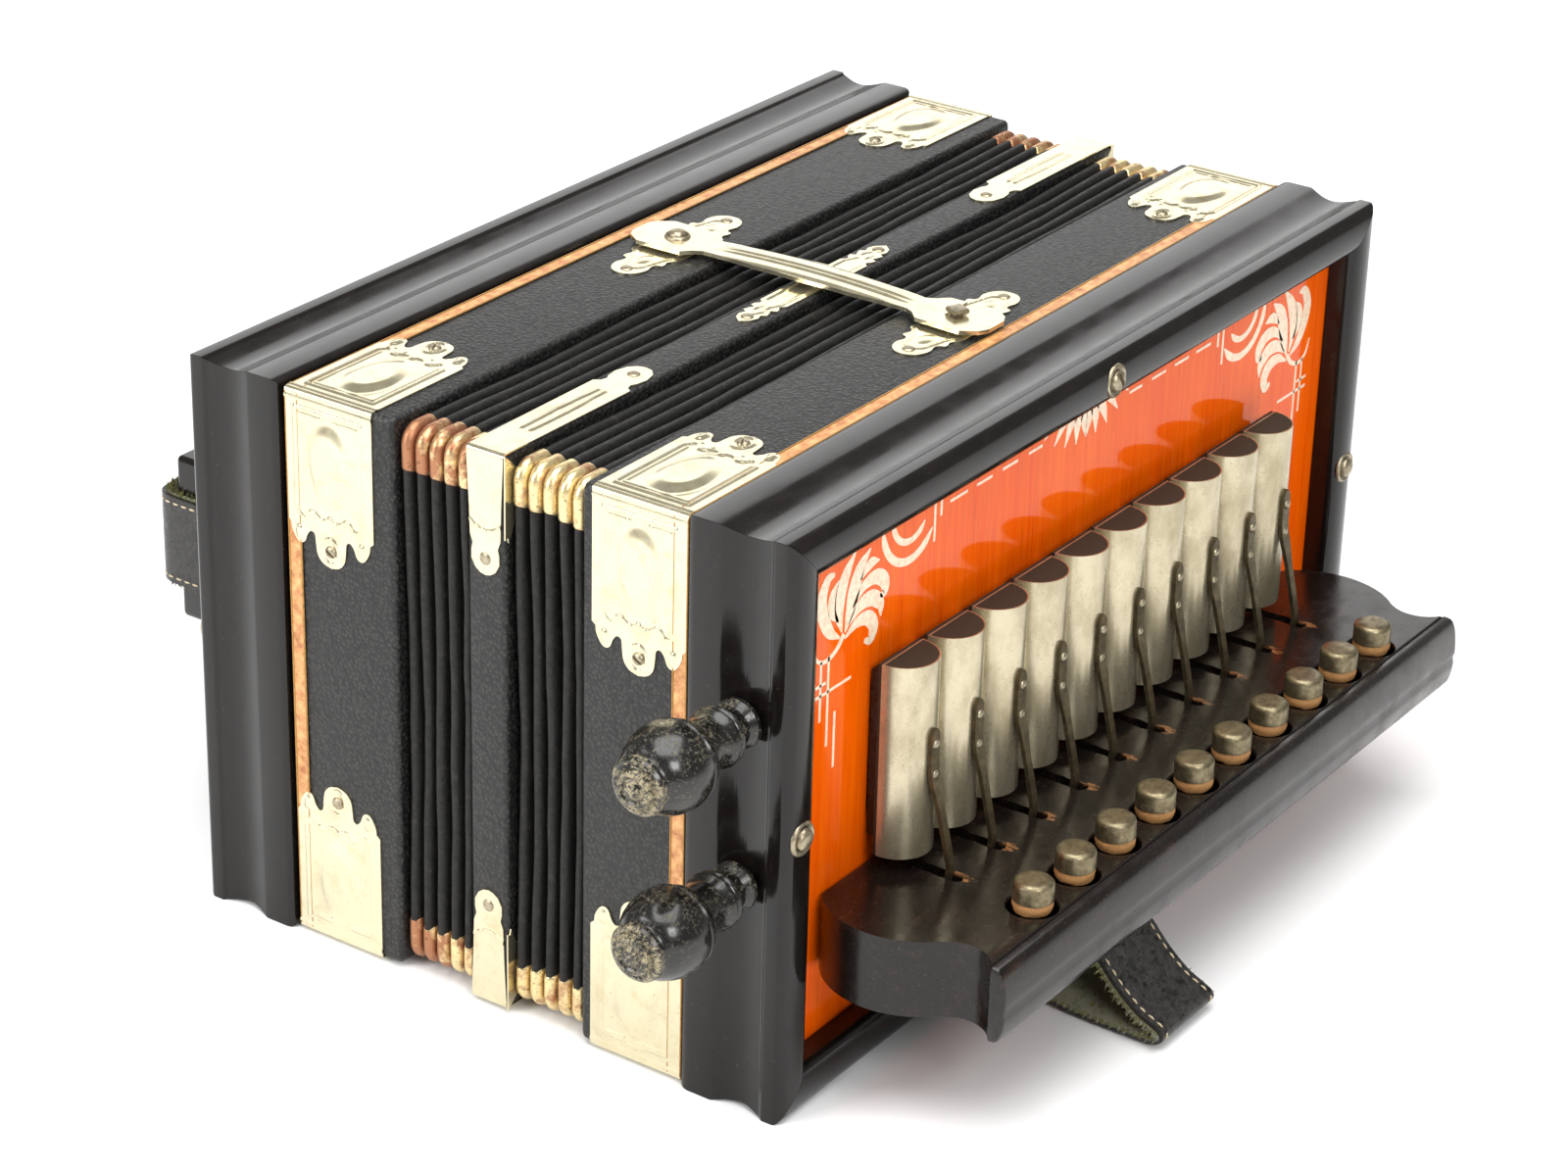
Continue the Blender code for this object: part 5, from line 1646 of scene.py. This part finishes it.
def make_bass_side():
    low, high = BOX["bass_box"]
    shell = Drawing().slab(low, high, 1.6, 4)
    shell = make("bass_box_body", shell, "casing_lacquer", "bass_casing", smooth=30, replaces=("bass_box",))
    wall = 5.0
    cut(shell, Drawing().slab((low.x + wall, low.y - 2, low.z + wall),
                              (high.x - wall, high.y - wall, high.z - wall), 0.5))
    for node in ("bass_key_1", "bass_key_2", "air_key"):
        x = centre_of(node)[0]
        up = BOX[node][1].z > high.z
        edge = high.z if up else low.z
        cut(shell, Drawing().slab((x - 4.4, 192.2, edge - 7), (x + 4.4, 202.8, edge + 7), 0.4, 1))
        make_spoon_key(node, x, 1 if up else -1, edge)


def make_spoon_key(node, x, sign, edge):
    """A bent strip with a dished spoon for the finger, a hub on its axle and a pallet on the bass panel."""
    hub_y, face = 198.0, BOX[node][0].y
    key = Drawing()
    arm = smooth_curve([(hub_y, 15.0), (hub_y, 8.0), (hub_y, 0.0), (hub_y, -8.0), (194.5, -13.4),
                        (190.0, -17.0), (185.0, -20.2), (181.4, -22.0)], 4)
    line = [(y, edge + sign * out) for y, out in arm]
    key.strip(line, lambda p, across: (x + across, p[0], p[1]), 3.4, 1.6, 0.2)
    dish = [(1.0, 0.0), (0.95, 2.0), (0.75, 4.2), (0.3, 6.2), (0.1, 7.4), (-0.3, 7.95), (-0.8, 7.8),
            (-0.95, 7.2), (-0.6, 5.6), (-0.35, 3.0), (-0.3, 0.0)]
    key.lathe([(-d, r) for d, r in dish], (x, hub_y, edge + sign * 21.0), (0, 1, 0), 36)
    key.lathe([(-5.0, 2.4), (5.0, 2.4)], (x, hub_y, edge - sign * 8.0), (1, 0, 0), 24)
    make(f"{node}_lever", key, "nickel_plate", node, smooth=45, replaces=(node,))
    ends = sorted((edge - sign * 14.0, edge - sign * 32.0))
    pad = Drawing().slab((x - 8, face, ends[0]), (x + 8, face + 3.5, ends[1]), 0.6)
    make(f"{node}_pallet", pad, "bare_wood", node)


# ---------------------------------------------------------------- CAD nodes that stay


def paint_nodes():
    """Gives the CAD nodes whose shape is right their materials."""
    kept = {
        "treble_face_panel": "face_panel", "bass_panel": "casing_lacquer",
        "fingerboard_base": "keyboard_lacquer", "key_axle": "plated_steel",
        "treble_reed_block": "bare_wood", "bass_reed_block": "bare_wood",
    }
    for node, look in kept.items():
        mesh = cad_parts[node].data
        mesh.materials.clear()
        mesh.materials.append(LOOKS[look])


make_camera()
make_floor()
make_light()
paint_nodes()
make_casings()
make_bellows("treble_folds", "treble_casing", "middle_frame", "treble_bellows", 1.0)
make_bellows("bass_folds", "middle_frame", "bass_casing", "bass_bellows", 21.0)
make_corner_plates()
make_middle_clips()
make_top_fittings()
make_fingerboard()
make_keys()
make_knobs()
make_ornament()
make_straps()
make_bass_side()

bpy.context.view_layer.update()
